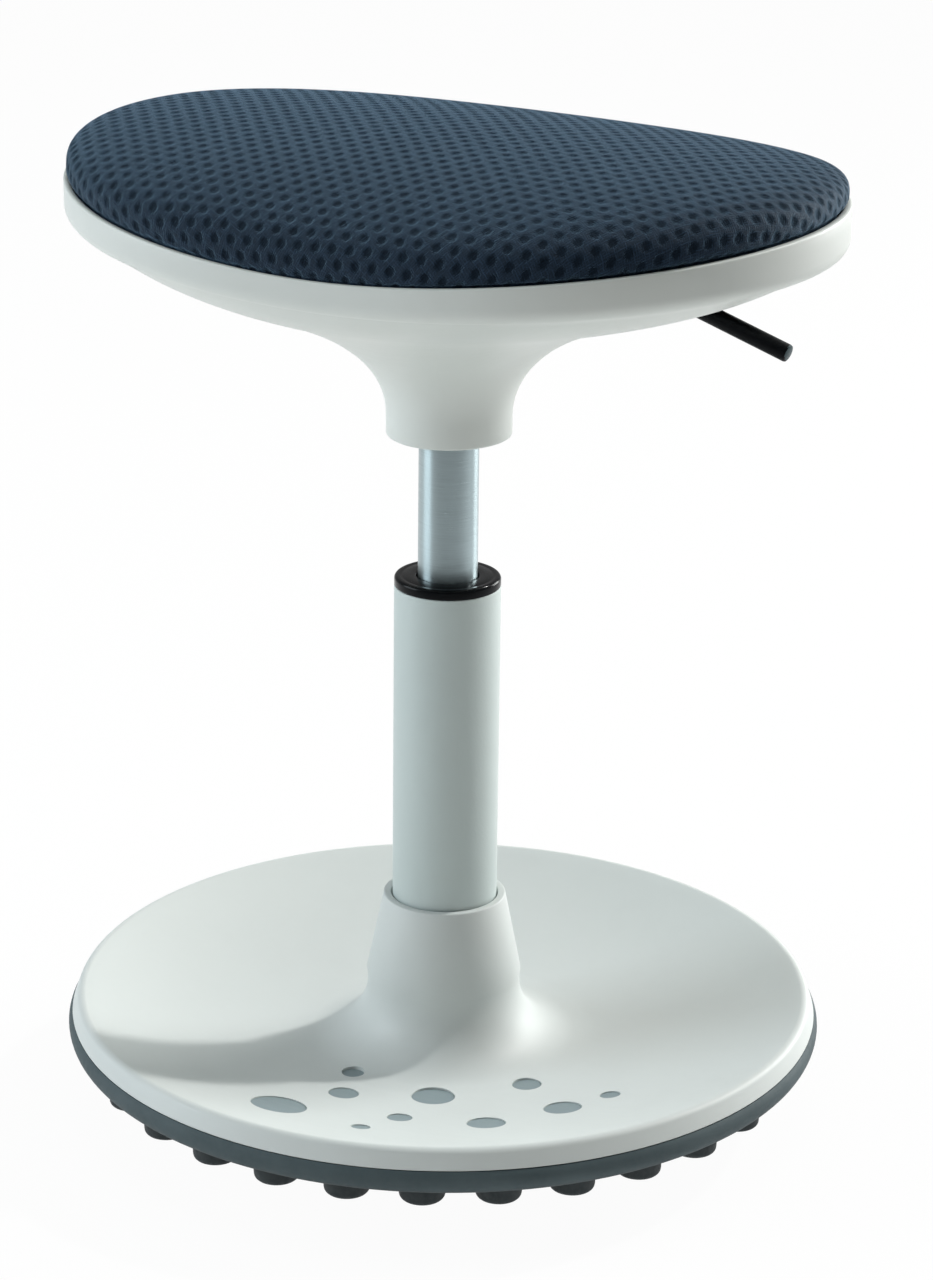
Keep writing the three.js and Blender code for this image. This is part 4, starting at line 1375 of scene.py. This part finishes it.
@dataclass
class SeatShell:
    """The white shell with its neck, the lever's slot and the wells of the screws.

    Sizes are in millimetres.
    """

    form: SeatForm
    wall: float = 3.0
    lip: float = 2.8
    band_round: float = 7.7
    neck: float = 29.1
    neck_bottom: float = 331.3
    throat: float = 369.2
    neck_top: float = 340.6
    post: float = 6.6
    well: float = 5.1
    hole: float = 2.3
    plate_posts: tuple[float, float] = (48.0, 33.0)
    plate_post_top: float = 397.7
    board_turns: tuple[float, ...] = (22.0, 158.0, 202.0, 338.0)
    board_ring: float = 105.0
    well_roof: float = 22.0
    slot_middle: tuple[float, float, float] = (134.5, 0.0, 382.0)
    slot_size: tuple[float, float, float] = (51.0, 13.0, 103.0)
    slot_round: float = 6.2

    def outline(self) -> Profile:
        """The shell's outer face, from the foot of the neck to the lip.

        Returns:
            The points of (radius, height).
        """
        rim = self.form.rim
        edge = self.form.radius - self.band_round
        low = rim - self.form.band_height
        belly = low - self.band_round
        foot = (73.2, rim - 54.3)
        pull = (foot[0] + 41.05, foot[1] + 17.7)
        return [
            *arc((self.neck - 1.2, self.neck_bottom + 1.2), 1.2, -90, 0, 4),
            *bezier([(self.neck, self.neck_top), (self.neck, self.throat), foot], 18),
            *bezier([foot, pull, (edge - 28.5, belly - 20.3), (edge, belly)], 24)[1:],
            *arc((edge, low), self.band_round, -90, 0, 8)[1:],
            (self.form.radius, rim - 6),
            *arc((self.form.radius - 1.1, rim - 1.1), 1.1, 0, 90, 4),
        ]

    def posts(self, core: bpy.types.Object) -> tuple[bpy.types.Object, bpy.types.Object]:
        """The posts that take the screws, and the holes in them.

        Args:
            core: the space that the posts stand in, which is used up.

        Returns:
            The posts and the holes, each as one object.
        """
        posts = []
        holes = []
        for a, b in ((1, 1), (-1, 1), (-1, -1), (1, -1)):
            place = (self.plate_posts[0] * a, self.plate_posts[1] * b)
            posts.append(peg("post", self.post, 360, self.plate_post_top, place, 40))
            holes.append(peg("blind_hole", self.hole, 389.4, 405, place, 24))
        for turn in self.board_turns:
            foot = self.form.place(self.board_ring, math.radians(turn), self.form.rim - 15)
            place = (foot.x, foot.y)
            posts.append(peg("post", self.post, 380, foot.z - 0.6, place, 40))
            holes.append(peg("well", self.well, 330, foot.z - self.well_roof, place, 40))
            holes.append(peg("shaft", self.hole, 330, foot.z + 5, place, 24))
        stand = joined(posts)
        combined(stand, core, "INTERSECT")
        return stand, joined(holes)

    def build(self) -> None:
        """Builds the shell."""
        outer = self.outline()
        under = inset(outer, self.wall)[4:-6]
        rim = self.form.rim
        lip = arc((self.form.radius - self.lip + 0.7, rim - 0.7), 0.7, 90, 180, 3)
        profile = [*outer, *lip, *reversed(under), (self.neck - self.wall, self.neck_bottom)]
        shell = turned("shell_bowl", profile, Turning.SEAT.value)
        self.form.shape(shell, True)
        middle = inset(outer, self.wall / 2)[5:-6]
        space = [(0.0, middle[0][1]), *middle, (0.0, middle[-1][1])]
        core = turned("core", space, Turning.TUBE.value, closed=False)
        self.form.shape(core, True)
        stand, holes = self.posts(core)
        slot = self.slot()
        combined(shell, stand, "UNION")
        combined(shell, joined([holes, slot]), "DIFFERENCE")
        smoothed(shell, 34)
        fitted(shell, Body.SEAT, SHELL_WHITE, ["seat_shell"])

    def slot(self) -> bpy.types.Object:
        """Models the lever's slot as a block with rounded upright edges.

        Returns:
            The block that is cut away.
        """
        clear_bench()
        bpy.ops.mesh.primitive_cube_add(size=1, location=[v * MM for v in self.slot_middle])
        block = bpy.context.object
        block.scale = [v * MM for v in self.slot_size]
        settle(block)
        points = block.data.vertices
        ends = [[points[i].co.z for i in edge.vertices] for edge in block.data.edges]
        upright = [i for i, (a, b) in enumerate(ends) if abs(a - b) > 0.05]
        self.round_edges(block, upright, self.slot_round)
        return block

    def round_edges(self, piece: bpy.types.Object, edges: list[int], radius: float) -> None:
        """Rounds chosen edges of a piece.

        Args:
            piece: the object to change.
            edges: the numbers of the edges.
            radius: the rounding in millimetres.
        """
        pick(piece)
        bpy.ops.object.mode_set(mode="EDIT")
        bpy.ops.mesh.select_mode(type="EDGE")
        bpy.ops.mesh.select_all(action="DESELECT")
        bpy.ops.object.mode_set(mode="OBJECT")
        for edge in piece.data.edges:
            edge.select = edge.index in edges
        bpy.ops.object.mode_set(mode="EDIT")
        bpy.ops.mesh.bevel(offset=radius * MM, segments=6, affect="EDGES")
        bpy.ops.object.mode_set(mode="OBJECT")


@dataclass
class Cushion:
    """The foam pad and the mesh cover stretched over it. Sizes are in millimetres."""

    form: SeatForm
    radius: float = 163.8
    hem: float = 8.2
    hem_radius: float = 158.9
    lip_radius: float = 160.9
    lip_rise: float = 0.6
    side_top: float = 3.0
    crown: float = 15.2
    cover: float = 2.2
    edge_power: float = 7.8
    round_power: float = 3.6
    spacing_power: float = 0.35
    flat_share: float = 0.7
    cloth_turn: float = 2.66
    cloth_skew: float = 0.0756
    cloth_start: tuple[float, float] = (10.67, -121.55)
    dimple: float = 0.55
    dimple_edge: float = 0.3
    dimple_slope: float = 1.5
    plain_share: float = 0.955
    plain_fade: float = 0.02
    foam_gap: float = 1.2
    foam_base: float = 147.0
    hem_clearance: float = 0.05
    fine: int = 320
    coarse: int = 80
    lines: int = 360
    rows: int = 600

    def outline(self, steps: int, bulge_steps: int) -> Profile:
        """The cushion's upper face, from its hem over the shell's lip to the middle.

        Args:
            steps: how many points the edge has, and half of how many the crown has.
            bulge_steps: how many points the bulge over the lip has.

        Returns:
            The points of (radius, height).
        """
        rim = self.form.rim
        edge = self.form.pad_height - self.side_top
        points: Profile = [
            (self.hem_radius, rim - self.hem),
            ((self.hem_radius + self.lip_radius) / 2, rim - self.hem / 2),
        ]
        for i in range(bulge_steps):
            turn = math.pi / 2 * i / bulge_steps
            out = self.lip_radius + (self.radius - self.lip_radius) * math.sin(turn)
            drop = (self.side_top - self.lip_rise) * math.cos(turn)
            points.append((out, rim + self.side_top - drop))
        quarter = math.pi / 2 * self.flat_share
        reaches = [math.cos(quarter * i / steps) ** self.spacing_power for i in range(steps)]
        inner = math.cos(quarter) ** self.spacing_power
        reaches += [inner * (1 - i / (2 * steps)) for i in range(2 * steps + 1)]
        for reach in reaches:
            rise = edge * (1 - reach**self.edge_power) ** (1 / self.round_power)
            rise += self.crown * (1 - reach**2)
            points.append((self.radius * reach, rim + self.side_top + rise))
        return points

    def rings(self, mesh: bpy.types.Mesh) -> tuple[np.ndarray, np.ndarray]:
        """Reads a square net as rings round its middle.

        Args:
            mesh: the net, two units wide.

        Returns:
            How far out each point is, from 0 to 1, and its angle in radians.
        """
        net = np.empty(len(mesh.vertices) * 3)
        mesh.vertices.foreach_get("co", net)
        x, y = net.reshape(-1, 3)[:, :2].T
        wide = np.abs(x) > np.abs(y)
        longer = np.where(wide, x, np.where(y == 0, 1.0, y))
        part = np.where(wide, y, x) / longer * math.pi / 4
        ring = np.where(wide, x, y)
        turn = np.where(wide, part, math.pi / 2 - part)
        angle = np.arctan2(ring * np.sin(turn), ring * np.cos(turn)) % (2 * math.pi)
        return np.abs(ring), angle

    def runs(self) -> tuple[np.ndarray, np.ndarray]:
        """Measures the cushion along lines from its middle to its hem.

        Returns:
            The places at even lengths of each line, and the whole length of each.
        """
        profile = self.outline(30, 8)[::-1]
        turns = [2 * math.pi * k / self.lines for k in range(self.lines + 1)]
        lines = np.array([[self.form.place(r, turn, h) for r, h in profile] for turn in turns])
        steps = np.linalg.norm(np.diff(lines, axis=1), axis=2)
        start = np.zeros((self.lines + 1, 1))
        lengths = np.concatenate([start, np.cumsum(steps, axis=1)], axis=1)
        even = np.linspace(0, 1, self.rows + 1)
        table = [
            [np.interp(even, run / run[-1], line[:, i]) for i in range(3)]
            for line, run in zip(lines, lengths)
        ]
        return np.array(table), lengths[:, -1]

    def cut(self, mesh: bpy.types.Mesh, spot: np.ndarray) -> np.ndarray:
        """Maps the cloth onto a sheet, turned and skewed as it was laid.

        Args:
            mesh: the sheet.
            spot: each point's place when the sheet is laid flat, in millimetres.

        Returns:
            Each point's place on the cloth in millimetres.
        """
        spot = spot - self.cloth_start
        tilt = math.radians(self.cloth_turn)
        along = spot @ np.array((math.cos(tilt), math.sin(tilt)))
        across = spot @ np.array((-math.sin(tilt), math.cos(tilt)))
        cloth = np.stack([along + self.cloth_skew * across, across], axis=1)
        corners = np.empty(len(mesh.loops), dtype=int)
        mesh.loops.foreach_get("vertex_index", corners)
        for layer in list(mesh.uv_layers):
            mesh.uv_layers.remove(layer)
        places = (cloth[corners] * CLOTH_UNIT).ravel()
        mesh.uv_layers.new(name="cloth").data.foreach_set("uv", places)
        return cloth

    def sheet(self, name: str, cuts: int) -> tuple[bpy.types.Object, np.ndarray, np.ndarray]:
        """Lays an even net of quads over the cushion, with the cloth on it.

        Args:
            name: the new object's name.
            cuts: how many quads the net has along each side.

        Returns:
            The sheet, its points' places on the cloth in millimetres, and how far out they are,
            from 0 to 1.
        """
        clear_bench()
        bpy.ops.mesh.primitive_grid_add(x_subdivisions=cuts, y_subdivisions=cuts, size=2)
        piece = bpy.context.object
        piece.name = name
        mesh = piece.data
        share, angle = self.rings(mesh)
        table, lengths = self.runs()
        place = angle / (2 * math.pi) * self.lines
        column = np.minimum(place.astype(int), self.lines - 1)
        row = np.minimum((share * self.rows).astype(int), self.rows - 1)
        over, up = (place - column)[:, None], (share * self.rows - row)[:, None]
        near = table[column, :, row] * (1 - up) + table[column, :, row + 1] * up
        far = table[column + 1, :, row] * (1 - up) + table[column + 1, :, row + 1] * up
        mesh.vertices.foreach_set("co", ((near * (1 - over) + far * over) * MM).ravel())
        reach = share * np.interp(place, np.arange(self.lines + 1), lengths)
        spot = np.stack([reach * np.cos(angle), reach * np.sin(angle)], axis=1)
        cloth = self.cut(mesh, spot)
        mesh.update()
        return piece, cloth, share

    def sink(self, piece: bpy.types.Object, depths: np.ndarray) -> None:
        """Moves a sheet's points inwards, square to it.

        Args:
            piece: the sheet.
            depths: how far each point moves, in millimetres.
        """
        mesh = piece.data
        places = np.empty(len(mesh.vertices) * 3)
        outwards = np.empty(len(mesh.vertices) * 3)
        mesh.vertices.foreach_get("co", places)
        mesh.vertex_normals.foreach_get("vector", outwards)
        mesh.vertices.foreach_set("co", places - outwards * np.repeat(depths, 3) * MM)
        mesh.update()

    def build(self) -> None:
        """Builds the foam pad and the cover."""
        cover, cloth, share = self.sheet("mesh_cover", self.fine)
        within = WEAVE.hole + self.dimple_edge - WEAVE.distance(cloth)
        inside = np.clip(within / self.dimple_slope, 0, 1)
        inside = inside * np.clip((self.plain_share - share) / self.plain_fade, 0, 1)
        self.sink(cover, self.dimple * inside**2 * (3 - 2 * inside))
        lining, _, share = self.sheet("cover_lining", self.coarse)
        self.sink(lining, np.full(len(share), self.cover))
        pick(lining)
        bpy.ops.object.mode_set(mode="EDIT")
        bpy.ops.mesh.select_all(action="SELECT")
        bpy.ops.mesh.flip_normals()
        bpy.ops.object.mode_set(mode="OBJECT")
        joined([cover, lining])
        pick(cover)
        bpy.ops.object.mode_set(mode="EDIT")
        bpy.ops.mesh.select_mode(type="EDGE")
        bpy.ops.mesh.select_all(action="DESELECT")
        bpy.ops.mesh.select_non_manifold()
        bpy.ops.mesh.bridge_edge_loops()
        bpy.ops.object.mode_set(mode="OBJECT")
        smoothed(cover, 60)
        fitted(cover, Body.SEAT, MESH_CLOTH, ["seat_cover"])
        filling = inset(self.outline(22, 3), self.cover + self.foam_gap)
        floor = self.form.rim - self.hem + self.hem_clearance
        filling[0] = (filling[0][0], floor)
        base = [(self.foam_base * i / 6, floor) for i in range(7)]
        foam = turned("foam_filling", [*base, *filling], Turning.SEAT.value, closed=False)
        self.form.shape(foam)
        smoothed(foam, 40)
        fitted(foam, Body.SEAT, PAD_FOAM, ["foam_pad"])


@dataclass
class Lever:
    """The black release lever, bent down where it leaves the shell. Sizes are in millimetres."""

    radius: float = 4.0
    start: float = 12.0
    height: float = 412.0
    bend_start: float = 105.0
    bend_round: float = 57.0
    bend_middle: float = 114.0
    end_distance: float = 171.0
    end_drop: float = 17.8
    end_round: float = 0.9
    end_face: float = 1.2

    def build(self) -> None:
        """Builds the lever."""
        droop = math.atan2(self.end_drop, self.end_distance - self.bend_middle)
        clear_bench()
        bpy.ops.mesh.primitive_circle_add(
            vertices=Turning.SMALL.value,
            radius=self.radius * MM,
            fill_type="NGON",
            location=(self.start * MM, 0, self.height * MM),
            rotation=(0, math.pi / 2, 0),
        )
        lever = bpy.context.object
        lever.name = "lever_rod"
        settle(lever)
        pick(lever)
        bpy.ops.object.mode_set(mode="EDIT")
        bpy.ops.mesh.select_all(action="SELECT")
        run = (self.bend_start - self.start) * MM
        bpy.ops.mesh.extrude_region_move(TRANSFORM_OT_translate={"value": (run, 0, 0)})
        centre = (self.bend_start * MM, 0, (self.height - self.bend_round) * MM)
        bpy.ops.mesh.spin(steps=8, dupli=False, angle=-droop, center=centre, axis=(0, 1, 0))
        bent = self.bend_start + self.bend_round * math.sin(droop)
        length = (self.end_distance - bent) / math.cos(droop) * MM
        move = (length * math.cos(droop), 0, -length * math.sin(droop))
        bpy.ops.mesh.extrude_region_move(TRANSFORM_OT_translate={"value": move})
        bpy.ops.object.mode_set(mode="OBJECT")
        tip = max(lever.data.polygons, key=lambda face: face.center.x)
        select_faces(lever, [tip.index])
        bpy.ops.mesh.bevel(offset=self.end_round * MM, segments=2, affect="EDGES")
        bpy.ops.mesh.select_all(action="SELECT")
        bpy.ops.mesh.remove_doubles(threshold=1e-6)
        bpy.ops.mesh.normals_make_consistent(inside=False)
        bpy.ops.object.mode_set(mode="OBJECT")
        smoothed(lever, 30)
        fitted(lever, Body.LEVER, LEVER_BLACK, ["release_lever"])
        lever.data.materials.append(LEVER_END.material())
        far = max(face.center.x for face in lever.data.polygons)
        for face in lever.data.polygons:
            if face.center.x > far - self.end_face * MM and face.normal.x > 0.6:
                face.material_index = 1


@dataclass
class Screws:
    """The screws, each with a rounded head and a six-sided socket in it.

    Sizes are in millimetres.
    """

    head: float = 4.5
    head_height: float = 3.0
    head_round: float = 0.8
    shaft: float = 2.0
    shaft_round: float = 0.5
    socket: float = 1.7
    socket_roof: float = -1.3

    def model(self, length: float) -> bpy.types.Object:
        """Models one screw with its head's upper face at height 0.

        Args:
            length: how far its shaft reaches above the head.

        Returns:
            The screw, on the axis.
        """
        body = peg("screw_head", self.head, -self.head_height, 0, sides=28)
        lowest = min(body.data.polygons, key=lambda face: face.center.z)
        select_faces(body, [lowest.index])
        bpy.ops.mesh.bevel(offset=self.head_round * MM, segments=3, affect="EDGES")
        bpy.ops.object.mode_set(mode="OBJECT")
        shaft = peg("screw_shaft", self.shaft, -1, length, sides=20)
        highest = max(shaft.data.polygons, key=lambda face: face.center.z)
        select_faces(shaft, [highest.index])
        bpy.ops.mesh.bevel(offset=self.shaft_round * MM, segments=1, affect="EDGES")
        bpy.ops.object.mode_set(mode="OBJECT")
        combined(body, shaft, "UNION")
        combined(body, peg("socket", self.socket, -5, self.socket_roof, sides=6), "DIFFERENCE")
        return body

    def build(self) -> None:
        """Builds every screw over its plain solid."""
        for stem, body, count, over in (
            ("cover_screw", Body.BASE, 6, False),
            ("plate_screw", Body.SEAT, 4, True),
            ("board_screw", Body.SEAT, 4, False),
        ):
            low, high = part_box(f"{stem}_1")
            model = self.model((high.z - low.z) / MM - self.head_height)
            if over:
                model.data.transform(Matrix.Rotation(math.pi, 4, "X"))
            for i in range(1, count + 1):
                low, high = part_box(f"{stem}_{i}")
                seat = high.z - self.head_height * MM if over else low.z + self.head_height * MM
                place = Vector(((low.x + high.x) / 2, (low.y + high.y) / 2, seat)) / MM
                screw = copied(model, place)
                screw.name = f"{stem}_turned_{i}"
                smoothed(screw, 30)
                fitted(screw, body, DARK_STEEL, [f"{stem}_{i}"])
            bpy.data.objects.remove(model)


@dataclass
class HiddenPieces:
    """The carried-over pieces, each with its finish."""

    finishes: tuple[tuple[Finish, tuple[str, ...]], ...] = (
        (NYLON_BLACK, ("base_frame", "ball_cage", "rod_seal", "piston")),
        (DARK_STEEL, ("ballast_ring", "mechanism_plate", "release_rocker", "valve_body", "rod_clip")),
        (
            PART_STEEL,
            (
                "piston_rod",
                "rod_guide",
                "valve_button",
                "pivot_pin",
                "thrust_washer_lower",
                "thrust_washer_upper",
                *(f"thrust_ball_{i}" for i in range(1, 9)),
            ),
        ),
        (STOP_RUBBER, ("bump_stop",)),
        (BIRCH, ("seat_board",)),
    )

    def build(self) -> None:
        """Dresses each carried-over solid."""
        for finish, names in self.finishes:
            for name in names:
                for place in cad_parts[name].material_slots:
                    place.material = finish.material()
                log.info("%s: carried over, %s", name, finish.name)


# The studio


@dataclass(frozen=True)
class SoftLamp:
    """A square soft lamp that looks at the stool, placed in degrees and sized in metres."""

    name: str
    turn: float
    rise: float
    size: float
    watts: float
    tint: Colour

    def hang(self, distance: float, aim: Vector) -> None:
        """Hangs the lamp.

        Args:
            distance: how far it is from the point that it looks at.
            aim: that point.
        """
        x, y = polar(distance * math.cos(math.radians(self.rise)), self.turn)
        place = Vector((x, y, aim.z + distance * math.sin(math.radians(self.rise))))
        bpy.ops.object.light_add(type="AREA", location=place)
        lamp = bpy.context.object
        lamp.name = self.name
        lamp.data.size = self.size
        lamp.data.energy = self.watts
        lamp.data.color = self.tint
        lamp.rotation_euler = (aim - place).to_track_quat("-Z", "Y").to_euler()


@dataclass
class Studio:
    """A pale floor, a soft even room, a key light from the right and behind, and the camera."""

    camera_place: tuple[float, float, float] = (0.8319, -1.3668, 0.7931)
    camera_turn: float = 31.0
    camera_pitch: float = 19.366
    camera_roll: float = 0.012
    lens: float = 101.69
    ambient: float = 0.12
    key: float = 1.43
    key_turn: float = 60.0
    key_rise: float = 43.0
    key_spread: float = 3.5
    key_tint: Colour = (1.0, 0.985, 0.96)
    soft_lamps: tuple[SoftLamp, ...] = (
        SoftLamp("left_light", 214.0, 17.0, 1.4, 27.0, (0.89, 0.98, 1.04)),
        SoftLamp("top_light", 0.0, 90.0, 1.6, 20.0, (0.93, 1.0, 0.97)),
        SoftLamp("back_light", 67.0, 12.0, 1.0, 36.0, (0.98, 1.0, 0.99)),
    )
    lamp_distance: float = 2.3
    lamp_aim: float = 0.25
    dark: float = 0.2
    floor_dark: float = 0.48
    behind: float = 0.38
    floor_glow: float = 0.96
    floor_size: float = 14.0
    floor_gap: float = 0.0002

    def towards(self) -> Vector:
        """The level way from the stool to the camera, where the studio is dark."""
        turn = math.radians(self.camera_turn)
        return Vector((math.sin(turn), -math.cos(turn), 0.0))

    def floor(self) -> None:
        """Lays the floor. The camera sees it nearly white, with the stool's shadow on it."""
        clear_bench()
        bpy.ops.mesh.primitive_plane_add(size=self.floor_size, location=(0, 0, -self.floor_gap))
        floor = bpy.context.object
        floor.name = "floor"
        recipe = Recipe("floor_white")
        recipe.colour((0.9, 0.9, 0.9))
        recipe.put(Roughness=0.9, Specular_IOR_Level=0.0)
        path = recipe.add("ShaderNodeLightPath").outputs
        camera = path["Is Camera Ray"]
        mirrored = recipe.sum("MAXIMUM", path["Is Glossy Ray"], path["Is Transmission Ray"])
        forward = recipe.shift("DOT_PRODUCT", recipe.place(), self.towards()).outputs["Value"]
        far = recipe.reach(forward, 0.1, 0.7, 0.95, self.floor_dark, "SMOOTHSTEP")
        glow = recipe.add("ShaderNodeEmission")
        glow.inputs["Color"].default_value = (1, 1, 1, 1)
        strength = recipe.sum("MAXIMUM", camera, recipe.sum("MULTIPLY", mirrored, far))
        recipe.feed(strength, glow.inputs["Strength"])
        seen = recipe.sum("MULTIPLY", camera, self.floor_glow)
        blend = recipe.add("ShaderNodeMixShader")
        recipe.feed(recipe.sum("MAXIMUM", seen, mirrored), blend.inputs[0])
        recipe.feed(recipe.shader.outputs["BSDF"], blend.inputs[1])
        recipe.feed(glow.outputs["Emission"], blend.inputs[2])
        recipe.feed(blend.outputs["Shader"], recipe.output.inputs["Surface"])
        floor.data.materials.append(recipe.made)

    def room(self) -> None:
        """Sets the world, white to the camera and darker on the camera's side in reflections."""
        world = bpy.data.worlds.new("room")
        bpy.context.scene.world = world
        world.use_nodes = True
        board = NodeBoard(world.node_tree)
        way = board.add("ShaderNodeTexCoord").outputs["Generated"]
        facing = board.shift("DOT_PRODUCT", way, self.towards()).outputs["Value"]
        shown = board.reach(facing, 0.45, 0.8, self.behind, self.dark, "SMOOTHSTEP")
        path = board.add("ShaderNodeLightPath").outputs
        mirrored = board.sum("MAXIMUM", path["Is Glossy Ray"], path["Is Transmission Ray"])
        lit = board.blend(mirrored, self.ambient, shown)
        glow = board.add("ShaderNodeBackground")
        glow.inputs["Color"].default_value = (1, 1, 1, 1)
        board.feed(board.blend(path["Is Camera Ray"], lit, 1.0), glow.inputs["Strength"])
        output = board.add("ShaderNodeOutputWorld")
        board.feed(glow.outputs["Background"], output.inputs["Surface"])

    def lamps(self) -> None:
        """Hangs the key light, and the soft lights on the left, above and behind on the right."""
        clear_bench()
        bpy.ops.object.light_add(type="SUN", location=(1, 2, 2))
        key = bpy.context.object
        key.name = "key_light"
        key.rotation_euler = (math.radians(90 - self.key_rise), 0, math.radians(self.key_turn + 90))
        key.data.energy = self.key
        key.data.angle = math.radians(self.key_spread)
        key.data.color = self.key_tint
        for lamp in self.soft_lamps:
            lamp.hang(self.lamp_distance, Vector((0, 0, self.lamp_aim)))

    def camera(self) -> None:
        """Stands the camera where the photograph was taken from."""
        clear_bench()
        bpy.ops.object.camera_add(location=self.camera_place)
        camera = bpy.context.object
        camera.name = "camera"
        turn = Matrix.Rotation(math.radians(self.camera_turn), 4, "Z")
        tilt = Matrix.Rotation(math.radians(90 - self.camera_pitch), 4, "X")
        roll = Matrix.Rotation(self.camera_roll, 4, "Z")
        camera.matrix_world = Matrix.Translation(self.camera_place) @ turn @ tilt @ roll
        camera.data.lens = self.lens
        camera.data.sensor_width = 36.0
        camera.data.clip_end = 50.0
        bpy.context.scene.camera = camera

    def build(self) -> None:
        """Builds the studio."""
        self.floor()
        self.room()
        self.lamps()
        self.camera()
        bpy.context.scene.view_settings.view_transform = "Standard"


def main() -> None:
    """Builds the stool and the studio in order."""
    form = SeatForm()
    base = (BaseCover(), Tread(), Column(), GasTube())
    seat = (SeatShell(form), Cushion(form), Lever())
    Studio().build()
    for part in (*base, *seat, Screws(), HiddenPieces()):
        part.build()
        log.info("%s done", type(part).__name__)
    clear_bench()


if __name__ == "__main__":
    main()
